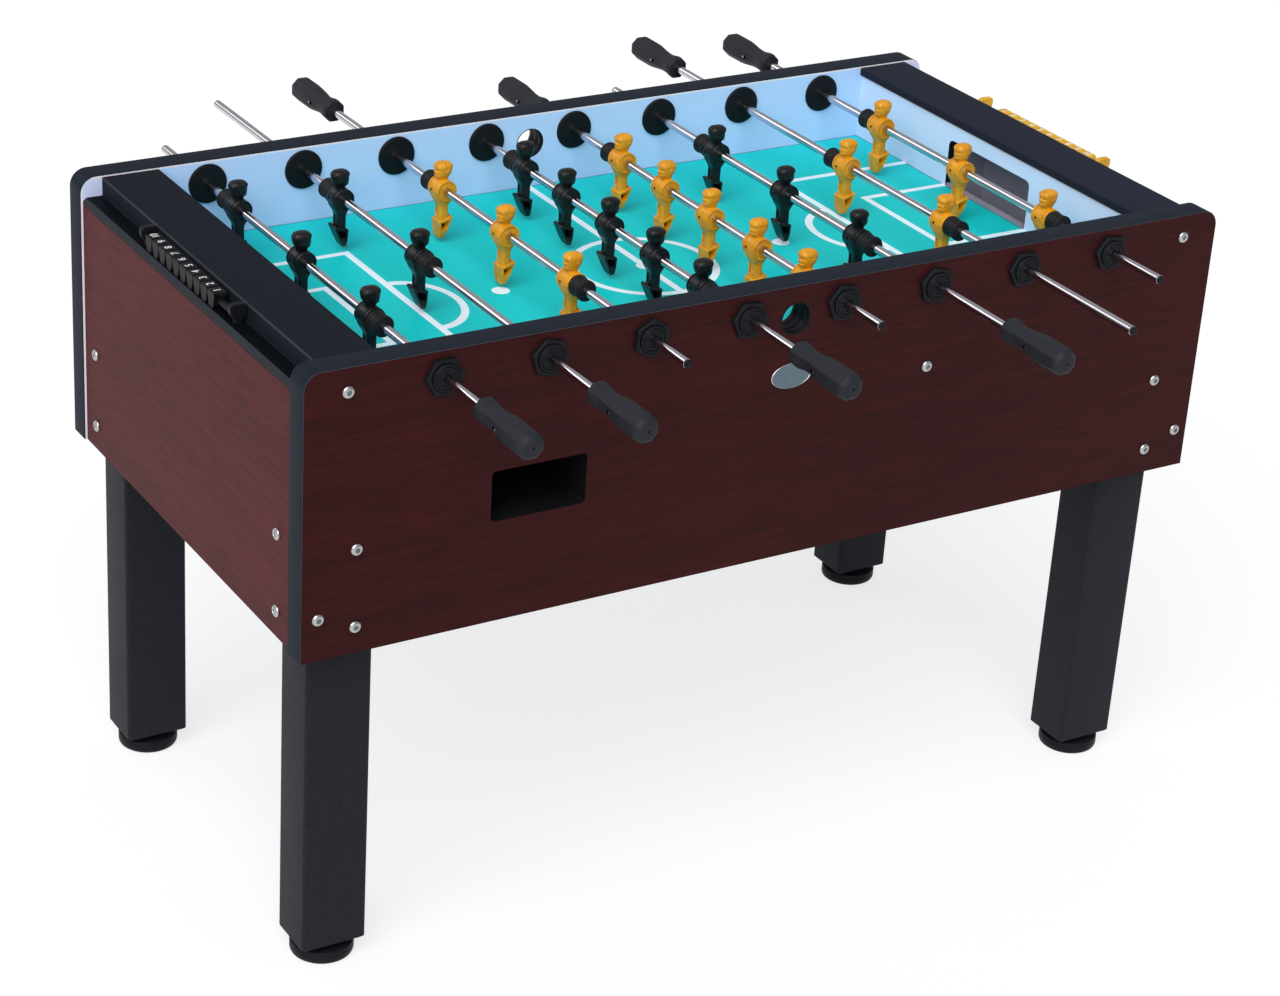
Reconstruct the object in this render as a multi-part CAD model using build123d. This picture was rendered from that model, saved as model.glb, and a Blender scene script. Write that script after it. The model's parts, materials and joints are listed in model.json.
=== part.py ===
"""Foosball table: a cabinet on four legs, eight rods of players, two bead scorers.

Millimetres. The origin is on the floor under the middle of the table. X runs along
the table, Y across it with the front at -Y, and Z is up.
"""
import os
from math import radians, tan

from build123d import *

# Cabinet
CABINET_LENGTH = 1432.0
CABINET_WIDTH = 762.0
CABINET_TOP = 900.0
CABINET_HEIGHT = 400.0
SIDE_THICKNESS = 40.0
SIDE_CORNER_RADIUS = 23.0
END_THICKNESS = 25.0
END_INSET = 3.0

# Play field and goals
FIELD_INSET = 114.5
FIELD_DROP = 115.0
FIELD_THICKNESS = 12.0
GOAL_WALL_THICKNESS = 15.0
GOAL_WALL_SKIRT = 28.0
GOAL_WIDTH = 200.0
GOAL_HEIGHT = 75.0
GOAL_CORNER_RADIUS = 10.0
BEAM_WIDTH = 40.0
BEAM_HEIGHT = 45.0

# Score shelf, the stepped board over each end
SHELF_DROP = 2.0
SHELF_OVERHANG = 3.0
SHELF_LIP = 12.0
SHELF_LEDGE_DEPTH = 29.0
SHELF_STEP_HEIGHT = 27.0
SHELF_LEDGE_THICKNESS = 10.0
SHELF_BEVEL = 5.0
SHELF_CORE_DEPTH = 46.0

# Ball return: a ramp behind each goal, and a trough that leads to the pocket in one side
TRAY_WALL = 4.0
RAMP_DROP = 50.0
RAMP_SLOPE = 11.5
TROUGH_SLOPE = 5.0
POCKET_INSET = 336.0
POCKET_WIDTH = 140.0
POCKET_HEIGHT = 72.0
POCKET_DROP = 139.0
POCKET_CORNER_RADIUS = 6.0
POCKET_LIP = 6.0

# Serve holes
SERVE_DIAMETER = 42.0
SERVE_RING_WALL = 2.0
SERVE_DROP = 46.0

# Legs and levellers
LEG_LENGTH_X = 94.0
LEG_WIDTH_Y = 78.0
LEG_OVERLAP = 200.0
LEG_EDGE_RADIUS = 4.0
FOOT_HEIGHT = 28.0
FOOT_DIAMETER = 88.0
FOOT_DISC = 20.0
FOOT_HUB_DIAMETER = 52.0
STUD_DIAMETER = 12.0
STUD_LENGTH = 55.0

# Rods and their bearings
END_ROD_INSET = 191.0
ROD_DROP = 34.0
ROD_DIAMETER = 12.7
ROD_WALL = 1.6
FREE_END_INSET = 9.5
BUSHING_FLANGE_DIAMETER = 58.5
BUSHING_FLANGE_THICKNESS = 4.0
BUSHING_BARREL_DIAMETER = 30.0
NUT_ACROSS_FLATS = 48.0
NUT_HEX_THICKNESS = 7.0
NUT_BOSS_DIAMETER = 38.0
NUT_THICKNESS = 10.0
# Degrees that the nut of each rod is turned from having a flat on top, from the left end
NUT_TURNS = (0.0, -13.0, 27.0, -6.0, -9.0, -16.0, -3.0, -8.0)
BUMPER_DIAMETER = 30.0
BUMPER_LENGTH = 26.0
CAP_LENGTH = 2.5
CAP_PLUG_LENGTH = 14.0
PIN_DIAMETER = 3.2

# Grip
GRIP_LENGTH = 124.0
GRIP_REACH = 46.0
GRIP_COLLAR_WIDTH = 33.0
GRIP_NECK_WIDTH = 28.0
GRIP_BODY_WIDTH = 36.0
GRIP_BORE_DEPTH = 92.0

# Players
TORSO_DIAMETER = 32.0
TORSO_WIDTH = 30.0
TORSO_RIM = 1.0
LEG_OF_PLAYER_X = 12.0
LEG_OF_PLAYER_Y = 17.0
TOE_REACH = 73.0
BOOT_TOP = 42.0
BOOT_DEPTH_X = 20.0
BOOT_WIDTH_Y = 24.0
HEAD_TOP = 41.5
HEAD_HEIGHT = 23.0
HEAD_DEPTH_X = 23.0
HEAD_WIDTH_Y = 18.0
NECK_DIAMETER = 12.0

# One entry per rod, from the left end: players, their spacing, the side that the grip
# is on (-1 front, 1 back) and where the rod stands, from -1 to 1 over its travel
RODS = (
    (3, 206.0, -1, 0.34),
    (2, 245.0, -1, 0.57),
    (3, 186.0, 1, 0.09),
    (5, 122.0, -1, -0.41),
    (5, 122.0, 1, -0.92),
    (3, 186.0, -1, -0.09),
    (2, 245.0, 1, -0.42),
    (3, 206.0, 1, -0.34),
)

# Bolts
BOLT_HEAD_DIAMETER = 17.0
BOLT_HEAD_HEIGHT = 5.0
BOLT_SHANK_DIAMETER = 8.0
BOLT_GRIP = 25.0
SOCKET_WIDTH = 6.0
LEG_BOLT_RISES = (38.0, 148.5)
CORNER_BOLT_RISE = 59.5
CORNER_BOLT_INSET = 19.5
SHELF_BOLT_INSET = 56.0
SHELF_BOLT_DROP = 32.0
BEAM_BOLT_DROP = 28.0

# Scorers
BEAD_COUNT = 10
BEAD_LENGTH = 22.0
BEAD_PITCH = 22.6
BEAD_DEPTH = 19.0
BEAD_HEIGHT = 23.0
BEAD_FREE_TRAVEL = 53.0
BEAD_REST_LEFT = 19.5
BEAD_REST_RIGHT = -6.0
BRACKET_THICKNESS = 9.0
BRACKET_WIDTH = 24.0
BRACKET_STEM = 10.0
BRACKET_HEAD_HEIGHT = 13.0
BRACKET_FLARE = 9.0
RAIL_WIDTH = 8.0
RAIL_HEIGHT = 6.0

# Gaps between pieces
RUNNING_GAP = 0.05
SEAT_GAP = 0.1
MOVING_GAP = 0.3

# Sizes that follow from those above
SIDE_OUTER_Y = CABINET_WIDTH / 2
SIDE_INNER_Y = SIDE_OUTER_Y - SIDE_THICKNESS
CABINET_BOTTOM = CABINET_TOP - CABINET_HEIGHT
END_OUTER_X = CABINET_LENGTH / 2 - END_INSET
END_INNER_X = END_OUTER_X - END_THICKNESS
FIELD_TOP = CABINET_TOP - FIELD_DROP
FIELD_UNDERSIDE = FIELD_TOP - FIELD_THICKNESS
FIELD_END_X = CABINET_LENGTH / 2 - FIELD_INSET
GOAL_WALL_BACK_X = FIELD_END_X + GOAL_WALL_THICKNESS
ROD_PITCH = (CABINET_LENGTH - 2 * END_ROD_INSET) / (len(RODS) - 1)
BEAM_X = 1.5 * ROD_PITCH
POCKET_X = CABINET_LENGTH / 2 - POCKET_INSET
POCKET_BOTTOM = FIELD_TOP - POCKET_DROP
SHELF_STEP_X = END_OUTER_X - SHELF_LEDGE_DEPTH
SHELF_TOP = CABINET_TOP - SHELF_DROP
SHELF_LIP_UNDERSIDE = SHELF_TOP - SHELF_LIP
LEDGE_TOP = SHELF_TOP - SHELF_STEP_HEIGHT
END_TOP = LEDGE_TOP - SHELF_LEDGE_THICKNESS
SHELF_CORE_BOTTOM = SHELF_TOP - SHELF_CORE_DEPTH
SHELF_CORE_X = GOAL_WALL_BACK_X + 15.0
ROD_Z = CABINET_TOP - ROD_DROP
SERVE_Z = CABINET_TOP - SERVE_DROP
SERVE_RING_DIAMETER = SERVE_DIAMETER + 2 * SERVE_RING_WALL
LEG_X = END_INNER_X - LEG_LENGTH_X / 2
LEG_Y = SIDE_INNER_Y - LEG_WIDTH_Y / 2
LEG_TOP = CABINET_BOTTOM + LEG_OVERLAP
BUSHING_FACE_Y = SIDE_INNER_Y - BUSHING_FLANGE_THICKNESS
BUSHING_END_Y = SIDE_OUTER_Y + NUT_THICKNESS
RAMP_HALF_WIDTH = GOAL_WIDTH / 2 + 12.0
TROUGH_WALL_TOP = FIELD_UNDERSIDE - 8.0
BEAD_X = (SHELF_STEP_X + END_OUTER_X) / 2 - 1.0
BEAD_ROW = (BEAD_COUNT - 1) * BEAD_PITCH + BEAD_LENGTH
BRACKET_Y = (BEAD_ROW + BEAD_FREE_TRAVEL + BRACKET_THICKNESS) / 2 + MOVING_GAP
RAIL_Z = LEDGE_TOP + BEAD_HEIGHT / 2
LEG_BOLT_HEIGHTS = tuple(CABINET_BOTTOM + rise for rise in LEG_BOLT_RISES)
CORNER_BOLT_X = END_OUTER_X - CORNER_BOLT_INSET
CORNER_BOLT_HEIGHT = CABINET_BOTTOM + CORNER_BOLT_RISE
SHELF_BOLT_X = END_OUTER_X - SHELF_BOLT_INSET
SHELF_BOLT_Z = CABINET_TOP - SHELF_BOLT_DROP
BEAM_BOLT_Z = FIELD_UNDERSIDE - BEAM_BOLT_DROP


def sweep_along_y(outline, y_from, y_to):
    """A solid whose outline in X and Z is the given sketch, from y_from to y_to."""
    return extrude(Plane.XZ.offset(-y_from) * outline, y_to - y_from, dir=(0, 1, 0))


def sweep_along_x(outline, x_from, x_to):
    """A solid whose outline in Y and Z is the given sketch, from x_from to x_to."""
    return extrude(Plane.YZ.offset(x_from) * outline, x_to - x_from, dir=(1, 0, 0))


def box_between(x_from, x_to, y_from, y_to, z_from, z_to):
    """A box given by its limits on the three axes."""
    size = (x_to - x_from, y_to - y_from, z_to - z_from)
    middle = ((x_from + x_to) / 2, (y_from + y_to) / 2, (z_from + z_to) / 2)
    return Pos(*middle) * Box(*size)


def cylinder_along_y(diameter, x, z, y_from, y_to):
    """A round bar along Y between y_from and y_to."""
    bar = Cylinder(diameter / 2, y_to - y_from)
    return Pos(x, (y_from + y_to) / 2, z) * Rot(90, 0, 0) * bar


def cylinder_along_x(diameter, y, z, x_from, x_to):
    """A round bar along X between x_from and x_to."""
    bar = Cylinder(diameter / 2, x_to - x_from)
    return Pos((x_from + x_to) / 2, y, z) * Rot(0, 90, 0) * bar


def half_turn(shape):
    """The same piece at the other end or side of the table."""
    return Rot(0, 0, 180) * shape


def rod_x(index):
    """Where rod number index, counted from 0 at the left, crosses the table."""
    return (index - (len(RODS) - 1) / 2) * ROD_PITCH


def rod_travel(players, spacing):
    """How far a rod can slide from its middle before a bumper meets a bushing."""
    reach = (players - 1) * spacing / 2 + TORSO_WIDTH / 2 + BUMPER_LENGTH
    return BUSHING_FACE_Y - reach - 3 * MOVING_GAP


def side_bolt_places():
    """X and Z of each bolt through a side panel."""
    places = []
    for end in (-1, 1):
        places += [(end * LEG_X, height) for height in LEG_BOLT_HEIGHTS]
        places.append((end * CORNER_BOLT_X, CORNER_BOLT_HEIGHT))
        places.append((end * SHELF_BOLT_X, SHELF_BOLT_Z))
        places.append((end * BEAM_X, BEAM_BOLT_Z))
    return places


def end_bolt_places():
    """Y and Z of each bolt through an end panel."""
    return [(side * LEG_Y, height) for side in (-1, 1) for height in LEG_BOLT_HEIGHTS]


def front_side_panel():
    """The board along the front, with the bearing holes, the serve hole and the ball pocket."""
    middle_z = (CABINET_TOP + CABINET_BOTTOM) / 2
    panel = Pos(0, -(SIDE_OUTER_Y + SIDE_INNER_Y) / 2, middle_z) * Box(
        CABINET_LENGTH, SIDE_THICKNESS, CABINET_HEIGHT
    )
    upright_edges = panel.edges().filter_by(Axis.Y).group_by(Axis.Z)[-1]
    panel = fillet(upright_edges, SIDE_CORNER_RADIUS)
    past = 1.0
    y_from, y_to = -SIDE_OUTER_Y - past, -SIDE_INNER_Y + past
    for index in range(len(RODS)):
        hole_diameter = BUSHING_BARREL_DIAMETER + 2 * SEAT_GAP
        panel -= cylinder_along_y(hole_diameter, rod_x(index), ROD_Z, y_from, y_to)
    panel -= cylinder_along_y(SERVE_RING_DIAMETER + 2 * SEAT_GAP, 0, SERVE_Z, y_from, y_to)
    for x, z in side_bolt_places():
        panel -= cylinder_along_y(BOLT_SHANK_DIAMETER + 2 * SEAT_GAP, x, z, y_from, y_to)
    pocket_middle = (-POCKET_X, POCKET_BOTTOM + POCKET_HEIGHT / 2)
    pocket = Pos(*pocket_middle) * RectangleRounded(POCKET_WIDTH, POCKET_HEIGHT, POCKET_CORNER_RADIUS)
    return panel - sweep_along_y(pocket, y_from, y_to)


def end_panel():
    """The board across the right end, between the side panels and under the shelf."""
    panel = box_between(END_INNER_X, END_OUTER_X, -SIDE_INNER_Y, SIDE_INNER_Y, CABINET_BOTTOM, END_TOP)
    for y, z in end_bolt_places():
        hole_diameter = BOLT_SHANK_DIAMETER + 2 * SEAT_GAP
        panel -= cylinder_along_x(hole_diameter, y, z, END_INNER_X - 1, END_OUTER_X + 1)
    for side in (-1, 1):
        panel -= bolt_hole_into(CORNER_BOLT_X, CORNER_BOLT_HEIGHT, side)
    return panel


def bolt_hole_into(x, z, side):
    """The blind hole that a bolt through a side panel needs in the piece behind the panel."""
    deepest = SIDE_INNER_Y - BOLT_GRIP - 1.0
    limits = sorted((side * deepest, side * (SIDE_INNER_Y + 1.0)))
    return cylinder_along_y(BOLT_SHANK_DIAMETER + 2 * SEAT_GAP, x, z, *limits)


def playfield():
    """The flat field between the goal walls and the side panels."""
    return box_between(
        -FIELD_END_X, FIELD_END_X, -SIDE_INNER_Y, SIDE_INNER_Y, FIELD_UNDERSIDE, FIELD_TOP
    )


def field_beams():
    """Two beams across the cabinet that carry the field."""
    beams = []
    for end in (-1, 1):
        beam = box_between(
            end * BEAM_X - BEAM_WIDTH / 2,
            end * BEAM_X + BEAM_WIDTH / 2,
            -SIDE_INNER_Y,
            SIDE_INNER_Y,
            FIELD_UNDERSIDE - BEAM_HEIGHT,
            FIELD_UNDERSIDE,
        )
        for side in (-1, 1):
            beam -= bolt_hole_into(end * BEAM_X, BEAM_BOLT_Z, side)
        beams.append(beam)
    return beams


def goal_wall():
    """The wall at the right end of the field, with the goal and the way under it for the ball."""
    bottom = FIELD_UNDERSIDE - GOAL_WALL_SKIRT
    wall = box_between(
        FIELD_END_X, GOAL_WALL_BACK_X, -SIDE_INNER_Y, SIDE_INNER_Y, bottom, SHELF_LIP_UNDERSIDE
    )
    goal = box_between(
        FIELD_END_X - 1,
        GOAL_WALL_BACK_X + 1,
        -GOAL_WIDTH / 2,
        GOAL_WIDTH / 2,
        FIELD_TOP,
        FIELD_TOP + GOAL_HEIGHT,
    )
    top_edges = goal.edges().filter_by(Axis.X).group_by(Axis.Z)[-1]
    wall -= fillet(top_edges, GOAL_CORNER_RADIUS)
    passage = RAMP_HALF_WIDTH + TRAY_WALL + 1.0
    wall -= box_between(
        FIELD_END_X - 1, GOAL_WALL_BACK_X + 1, -passage, passage, bottom - 1, FIELD_UNDERSIDE
    )
    return wall


def score_shelf():
    """The stepped board over the right end, which the scorer stands on."""
    outline = (
        (FIELD_END_X - SHELF_OVERHANG, SHELF_LIP_UNDERSIDE),
        (FIELD_END_X - SHELF_OVERHANG, SHELF_TOP),
        (SHELF_STEP_X, SHELF_TOP),
        (SHELF_STEP_X, LEDGE_TOP),
        (END_OUTER_X - SHELF_BEVEL, LEDGE_TOP),
        (END_OUTER_X, LEDGE_TOP - SHELF_BEVEL),
        (END_OUTER_X, END_TOP),
        (END_INNER_X, END_TOP),
        (END_INNER_X, SHELF_CORE_BOTTOM),
        (SHELF_CORE_X, SHELF_CORE_BOTTOM),
        (SHELF_CORE_X, SHELF_LIP_UNDERSIDE),
    )
    shelf = sweep_along_y(Polygon(*outline), -SIDE_INNER_Y, SIDE_INNER_Y)
    for side in (-1, 1):
        shelf -= bolt_hole_into(SHELF_BOLT_X, SHELF_BOLT_Z, side)
    return shelf


def ramp_floor_z(x):
    """Height of the goal ramp's floor at distance x from the middle of the table."""
    start = FIELD_TOP - RAMP_DROP
    return start - (END_INNER_X - x) * tan(radians(RAMP_SLOPE))


def goal_ramp():
    """The tray behind the right goal: it stops the ball and rolls it under the field."""
    inner_x = POCKET_X + POCKET_WIDTH / 2 + TRAY_WALL
    behind_wall = GOAL_WALL_BACK_X + 2.0
    back_top = SHELF_CORE_BOTTOM - 2.0
    outline = (
        (END_INNER_X, ramp_floor_z(END_INNER_X) - TRAY_WALL),
        (END_INNER_X, back_top),
        (behind_wall, back_top),
        (behind_wall, TROUGH_WALL_TOP),
        (inner_x, TROUGH_WALL_TOP),
        (inner_x, ramp_floor_z(inner_x) - TRAY_WALL),
    )
    outer_half = RAMP_HALF_WIDTH + TRAY_WALL
    tray = sweep_along_y(Polygon(*outline), -outer_half, outer_half)
    back_x = END_INNER_X - TRAY_WALL
    hollow = (
        (back_x, ramp_floor_z(back_x)),
        (back_x, back_top + 1),
        (inner_x - 1, back_top + 1),
        (inner_x - 1, ramp_floor_z(inner_x - 1)),
    )
    return tray - sweep_along_y(Polygon(*hollow), -RAMP_HALF_WIDTH, RAMP_HALF_WIDTH)


def trough_floor_z(y):
    """Height of the front trough's floor at y."""
    return POCKET_BOTTOM - POCKET_LIP + (y + SIDE_INNER_Y) * tan(radians(TROUGH_SLOPE))


def return_trough():
    """The channel that takes the ball from the left ramp to the pocket in the front."""
    half_width = POCKET_WIDTH / 2
    back_y = RAMP_HALF_WIDTH + TRAY_WALL
    outline = (
        (-SIDE_INNER_Y, trough_floor_z(-SIDE_INNER_Y) - TRAY_WALL),
        (back_y, trough_floor_z(back_y) - TRAY_WALL),
        (back_y, TROUGH_WALL_TOP),
        (-SIDE_INNER_Y, TROUGH_WALL_TOP),
    )
    hollow = (
        (-SIDE_INNER_Y - 1, trough_floor_z(-SIDE_INNER_Y - 1)),
        (back_y - TRAY_WALL, trough_floor_z(back_y - TRAY_WALL)),
        (back_y - TRAY_WALL, TROUGH_WALL_TOP + 1),
        (-SIDE_INNER_Y - 1, TROUGH_WALL_TOP + 1),
    )
    outer_x = POCKET_X + half_width + TRAY_WALL
    inner_x = POCKET_X - half_width - TRAY_WALL
    trough = sweep_along_x(Polygon(*outline), -outer_x, -inner_x)
    trough -= sweep_along_x(Polygon(*hollow), -outer_x + TRAY_WALL, -inner_x - TRAY_WALL)
    mouth_floor = ramp_floor_z(outer_x)
    return trough - box_between(
        -outer_x - 1,
        -outer_x + TRAY_WALL + 1,
        -RAMP_HALF_WIDTH,
        RAMP_HALF_WIDTH,
        mouth_floor,
        TROUGH_WALL_TOP + 1,
    )


def serve_ring():
    """The sleeve that lines the front serve hole."""
    sleeve = cylinder_along_y(SERVE_RING_DIAMETER, 0, SERVE_Z, -SIDE_OUTER_Y, -SIDE_INNER_Y)
    return sleeve - cylinder_along_y(SERVE_DIAMETER, 0, SERVE_Z, -SIDE_OUTER_Y - 1, -SIDE_INNER_Y + 1)


def leg(end, side):
    """One leg, bolted into the corner of a side panel and an end panel."""
    height = LEG_TOP - FOOT_HEIGHT
    post = Box(LEG_LENGTH_X, LEG_WIDTH_Y, height)
    post = fillet(post.edges().filter_by(Axis.Z), LEG_EDGE_RADIUS)
    post = Pos(end * LEG_X, side * LEG_Y, FOOT_HEIGHT + height / 2) * post
    for bolt_height in LEG_BOLT_HEIGHTS:
        post -= bolt_hole_into(end * LEG_X, bolt_height, side)
        x_limits = sorted((end * (END_INNER_X - BOLT_GRIP - 1.0), end * (END_INNER_X + 1.0)))
        hole_diameter = BOLT_SHANK_DIAMETER + 2 * SEAT_GAP
        post -= cylinder_along_x(hole_diameter, side * LEG_Y, bolt_height, *x_limits)
    stud_hole_depth = STUD_LENGTH + 2.0
    stud_hole = Cylinder(STUD_DIAMETER / 2 + RUNNING_GAP, stud_hole_depth)
    post -= Pos(end * LEG_X, side * LEG_Y, FOOT_HEIGHT + stud_hole_depth / 2) * stud_hole
    return post


def leveller(end, side):
    """The foot under one leg: a disc, a hub that meets the leg and a stud that goes up into it."""
    disc = Pos(0, 0, FOOT_DISC / 2) * Cylinder(FOOT_DIAMETER / 2, FOOT_DISC)
    disc = fillet(disc.edges().group_by(Axis.Z)[0], 5.0)
    disc = fillet(disc.edges().group_by(Axis.Z)[-1], 3.0)
    hub_height = FOOT_HEIGHT - FOOT_DISC
    hub = Pos(0, 0, FOOT_DISC + hub_height / 2) * Cylinder(FOOT_HUB_DIAMETER / 2, hub_height)
    stud = Pos(0, 0, FOOT_HEIGHT + STUD_LENGTH / 2) * Cylinder(STUD_DIAMETER / 2, STUD_LENGTH)
    return Pos(end * LEG_X, side * LEG_Y, 0) * (disc + hub + stud)


def rod_bushing(x):
    """A flanged sleeve in the front panel that a rod turns and slides in."""
    flange = cylinder_along_y(BUSHING_FLANGE_DIAMETER, x, ROD_Z, -SIDE_INNER_Y, -BUSHING_FACE_Y)
    flange = chamfer(flange.edges().group_by(Axis.Y)[-1], 1.5)
    barrel = cylinder_along_y(BUSHING_BARREL_DIAMETER, x, ROD_Z, -BUSHING_END_Y, -SIDE_INNER_Y)
    bore_diameter = ROD_DIAMETER + 2 * RUNNING_GAP
    bore = cylinder_along_y(bore_diameter, x, ROD_Z, -BUSHING_END_Y - 1, -BUSHING_FACE_Y + 1)
    return flange + barrel - bore


def bushing_nut(x, turn):
    """The hexagonal nut outside the front panel that clamps a bushing."""
    hexagon = RegularPolygon(NUT_ACROSS_FLATS / 2, 6, major_radius=False)
    hex_body = extrude(hexagon, NUT_HEX_THICKNESS)
    boss = Pos(0, 0, NUT_THICKNESS / 2) * Cylinder(NUT_BOSS_DIAMETER / 2, NUT_THICKNESS)
    boss = chamfer(boss.edges().group_by(Axis.Z)[-1], 1.0)
    bore = Cylinder(BUSHING_BARREL_DIAMETER / 2 + SEAT_GAP, 4 * NUT_THICKNESS)
    nut = hex_body + boss - bore
    return Pos(x, -SIDE_OUTER_Y, ROD_Z) * Rot(90, 0, 0) * Rot(0, 0, turn) * nut


def bolt(shank_length):
    """A domed socket bolt, head up, with the underside of its head on Z = 0."""
    radius = (BOLT_HEAD_DIAMETER**2 / 4 + BOLT_HEAD_HEIGHT**2) / (2 * BOLT_HEAD_HEIGHT)
    dome = Pos(0, 0, BOLT_HEAD_HEIGHT - radius) * Sphere(radius)
    head = dome & Pos(0, 0, BOLT_HEAD_HEIGHT) * Cylinder(BOLT_HEAD_DIAMETER, 2 * BOLT_HEAD_HEIGHT)
    shank = Pos(0, 0, -shank_length / 2) * Cylinder(BOLT_SHANK_DIAMETER / 2, shank_length)
    socket = extrude(RegularPolygon(SOCKET_WIDTH / 2, 6, major_radius=False), BOLT_HEAD_HEIGHT)
    return head + shank - Pos(0, 0, 2.0) * socket


def cabinet_bolts():
    """All the bolts through the side and end panels."""
    side_bolt = Rot(90, 0, 0) * bolt(SIDE_THICKNESS + BOLT_GRIP)
    end_bolt = Rot(0, 90, 0) * bolt(END_THICKNESS + BOLT_GRIP)
    bolts = []
    for x, z in side_bolt_places():
        placed = Pos(x, -SIDE_OUTER_Y, z) * side_bolt
        bolts += [placed, half_turn(placed)]
    for y, z in end_bolt_places():
        placed = Pos(END_OUTER_X, y, z) * end_bolt
        bolts += [placed, half_turn(placed)]
    return bolts


def player():
    """One player on a rod along Y, facing +X, with the rod's axis through the origin."""
    torso = cylinder_along_y(TORSO_DIAMETER, 0, 0, -TORSO_WIDTH / 2, TORSO_WIDTH / 2)
    groove_at = TORSO_WIDTH / 2 - 3.0
    for side in (-1, 1):
        limits = sorted((side * groove_at, side * (groove_at - 1.2)))
        ring = cylinder_along_y(TORSO_DIAMETER + 1, 0, 0, *limits)
        torso -= ring - cylinder_along_y(TORSO_DIAMETER - 2 * TORSO_RIM, 0, 0, *limits)
    half_leg = LEG_OF_PLAYER_X / 2
    hips = (
        (-TORSO_DIAMETER / 2 + 1.5, -5.0),
        (TORSO_DIAMETER / 2 - 1.5, -5.0),
        (half_leg, -26.0),
        (half_leg - 0.5, -BOOT_TOP - 2.0),
        (-half_leg + 0.5, -BOOT_TOP - 2.0),
        (-half_leg, -26.0),
    )
    legs = sweep_along_y(Polygon(*hips), -LEG_OF_PLAYER_Y / 2, LEG_OF_PLAYER_Y / 2)
    neck = Pos(0, 0, HEAD_TOP - HEAD_HEIGHT - 2.0) * Cylinder(NECK_DIAMETER / 2, 12.0)
    body = torso + legs + boot() + neck + head()
    body -= cylinder_along_y(ROD_DIAMETER + 2 * SEAT_GAP, 0, 0, -TORSO_WIDTH, TORSO_WIDTH)
    body -= cylinder_along_x(PIN_DIAMETER + 2 * SEAT_GAP, 0, 0, -TORSO_DIAMETER, TORSO_DIAMETER)
    return body


def boot():
    """The kicking foot: a wedge from the side, a rounded shield from the front."""
    half_depth = BOOT_DEPTH_X / 2
    side_view = (
        (half_depth, -BOOT_TOP - 3.0),
        (half_depth * 0.5, -TOE_REACH),
        (half_depth * 0.2, -TOE_REACH),
        (-half_depth, -BOOT_TOP - 2.0),
        (-half_depth + 2.0, -BOOT_TOP + 2.0),
        (0.0, -BOOT_TOP),
    )
    wedge = sweep_along_y(Polygon(*side_view), -BOOT_WIDTH_Y / 2, BOOT_WIDTH_Y / 2)
    half_width = BOOT_WIDTH_Y / 2
    shield_start = -BOOT_TOP - 14.0
    corners = (
        (-half_width, shield_start),
        (-half_width, -BOOT_TOP + 4.0),
        (half_width, -BOOT_TOP + 4.0),
        (half_width, shield_start),
    )
    toe = (0.0, -TOE_REACH - 3.0)
    front = Polyline(*corners)
    front += ThreePointArc(corners[3], (half_width * 0.72, -TOE_REACH + 6.5), toe)
    front += ThreePointArc(toe, (-half_width * 0.72, -TOE_REACH + 6.5), corners[0])
    shield = sweep_along_x(make_face(front), -BOOT_DEPTH_X, BOOT_DEPTH_X)
    shape = wedge & shield
    for side in (-1, 1):
        limits = sorted((side * (half_width - 6.0), side * (half_width + 1.0)))
        shape -= box_between(-4.5, 2.5, *limits, -BOOT_TOP - 13.0, -BOOT_TOP - 5.0)
    return shape


def head():
    """A plain head with a flat-topped cap of hair."""
    low = HEAD_TOP - HEAD_HEIGHT
    block = box_between(
        -HEAD_DEPTH_X / 2, HEAD_DEPTH_X / 2, -HEAD_WIDTH_Y / 2, HEAD_WIDTH_Y / 2, low, HEAD_TOP
    )
    block = fillet(block.edges().filter_by(Axis.Z), 6.0)
    block = chamfer(block.edges().group_by(Axis.Z)[0], 4.0)
    return fillet(block.edges().group_by(Axis.Z)[-1], 3.0)


def grip():
    """An eight-sided grip along +Y: collar, neck, swelling body and a rounded end."""
    stations = (
        (0.0, GRIP_COLLAR_WIDTH - 4.0),
        (3.0, GRIP_COLLAR_WIDTH),
        (10.0, GRIP_COLLAR_WIDTH),
        (28.0, GRIP_NECK_WIDTH),
        (38.0, GRIP_NECK_WIDTH + 1.0),
        (74.0, GRIP_BODY_WIDTH),
        (GRIP_LENGTH - 10.0, GRIP_BODY_WIDTH - 1.0),
        (GRIP_LENGTH - 3.0, GRIP_BODY_WIDTH - 5.0),
        (GRIP_LENGTH, GRIP_BODY_WIDTH - 12.0),
    )
    rings = []
    for along, width in stations:
        octagon = RegularPolygon(width / 2, 8, major_radius=False, rotation=22.5)
        rings.append(Plane.XZ.offset(-along) * octagon)
    body = loft(rings, ruled=True)
    body -= cylinder_along_y(ROD_DIAMETER + 2 * SEAT_GAP, 0, 0, -1, GRIP_BORE_DEPTH)
    return body - cylinder_along_y(3.0, 0, 0, GRIP_LENGTH - 6.0, GRIP_LENGTH + 1)


def rod_cap():
    """The plug in the free end of a rod, along -Y from the rod's end."""
    bore = ROD_DIAMETER - 2 * ROD_WALL
    button = cylinder_along_y(ROD_DIAMETER, 0, 0, -CAP_LENGTH, 0)
    button = fillet(button.edges().group_by(Axis.Y)[0], 1.5)
    return button + cylinder_along_y(bore - 2 * SEAT_GAP, 0, 0, 0, CAP_PLUG_LENGTH)


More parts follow.
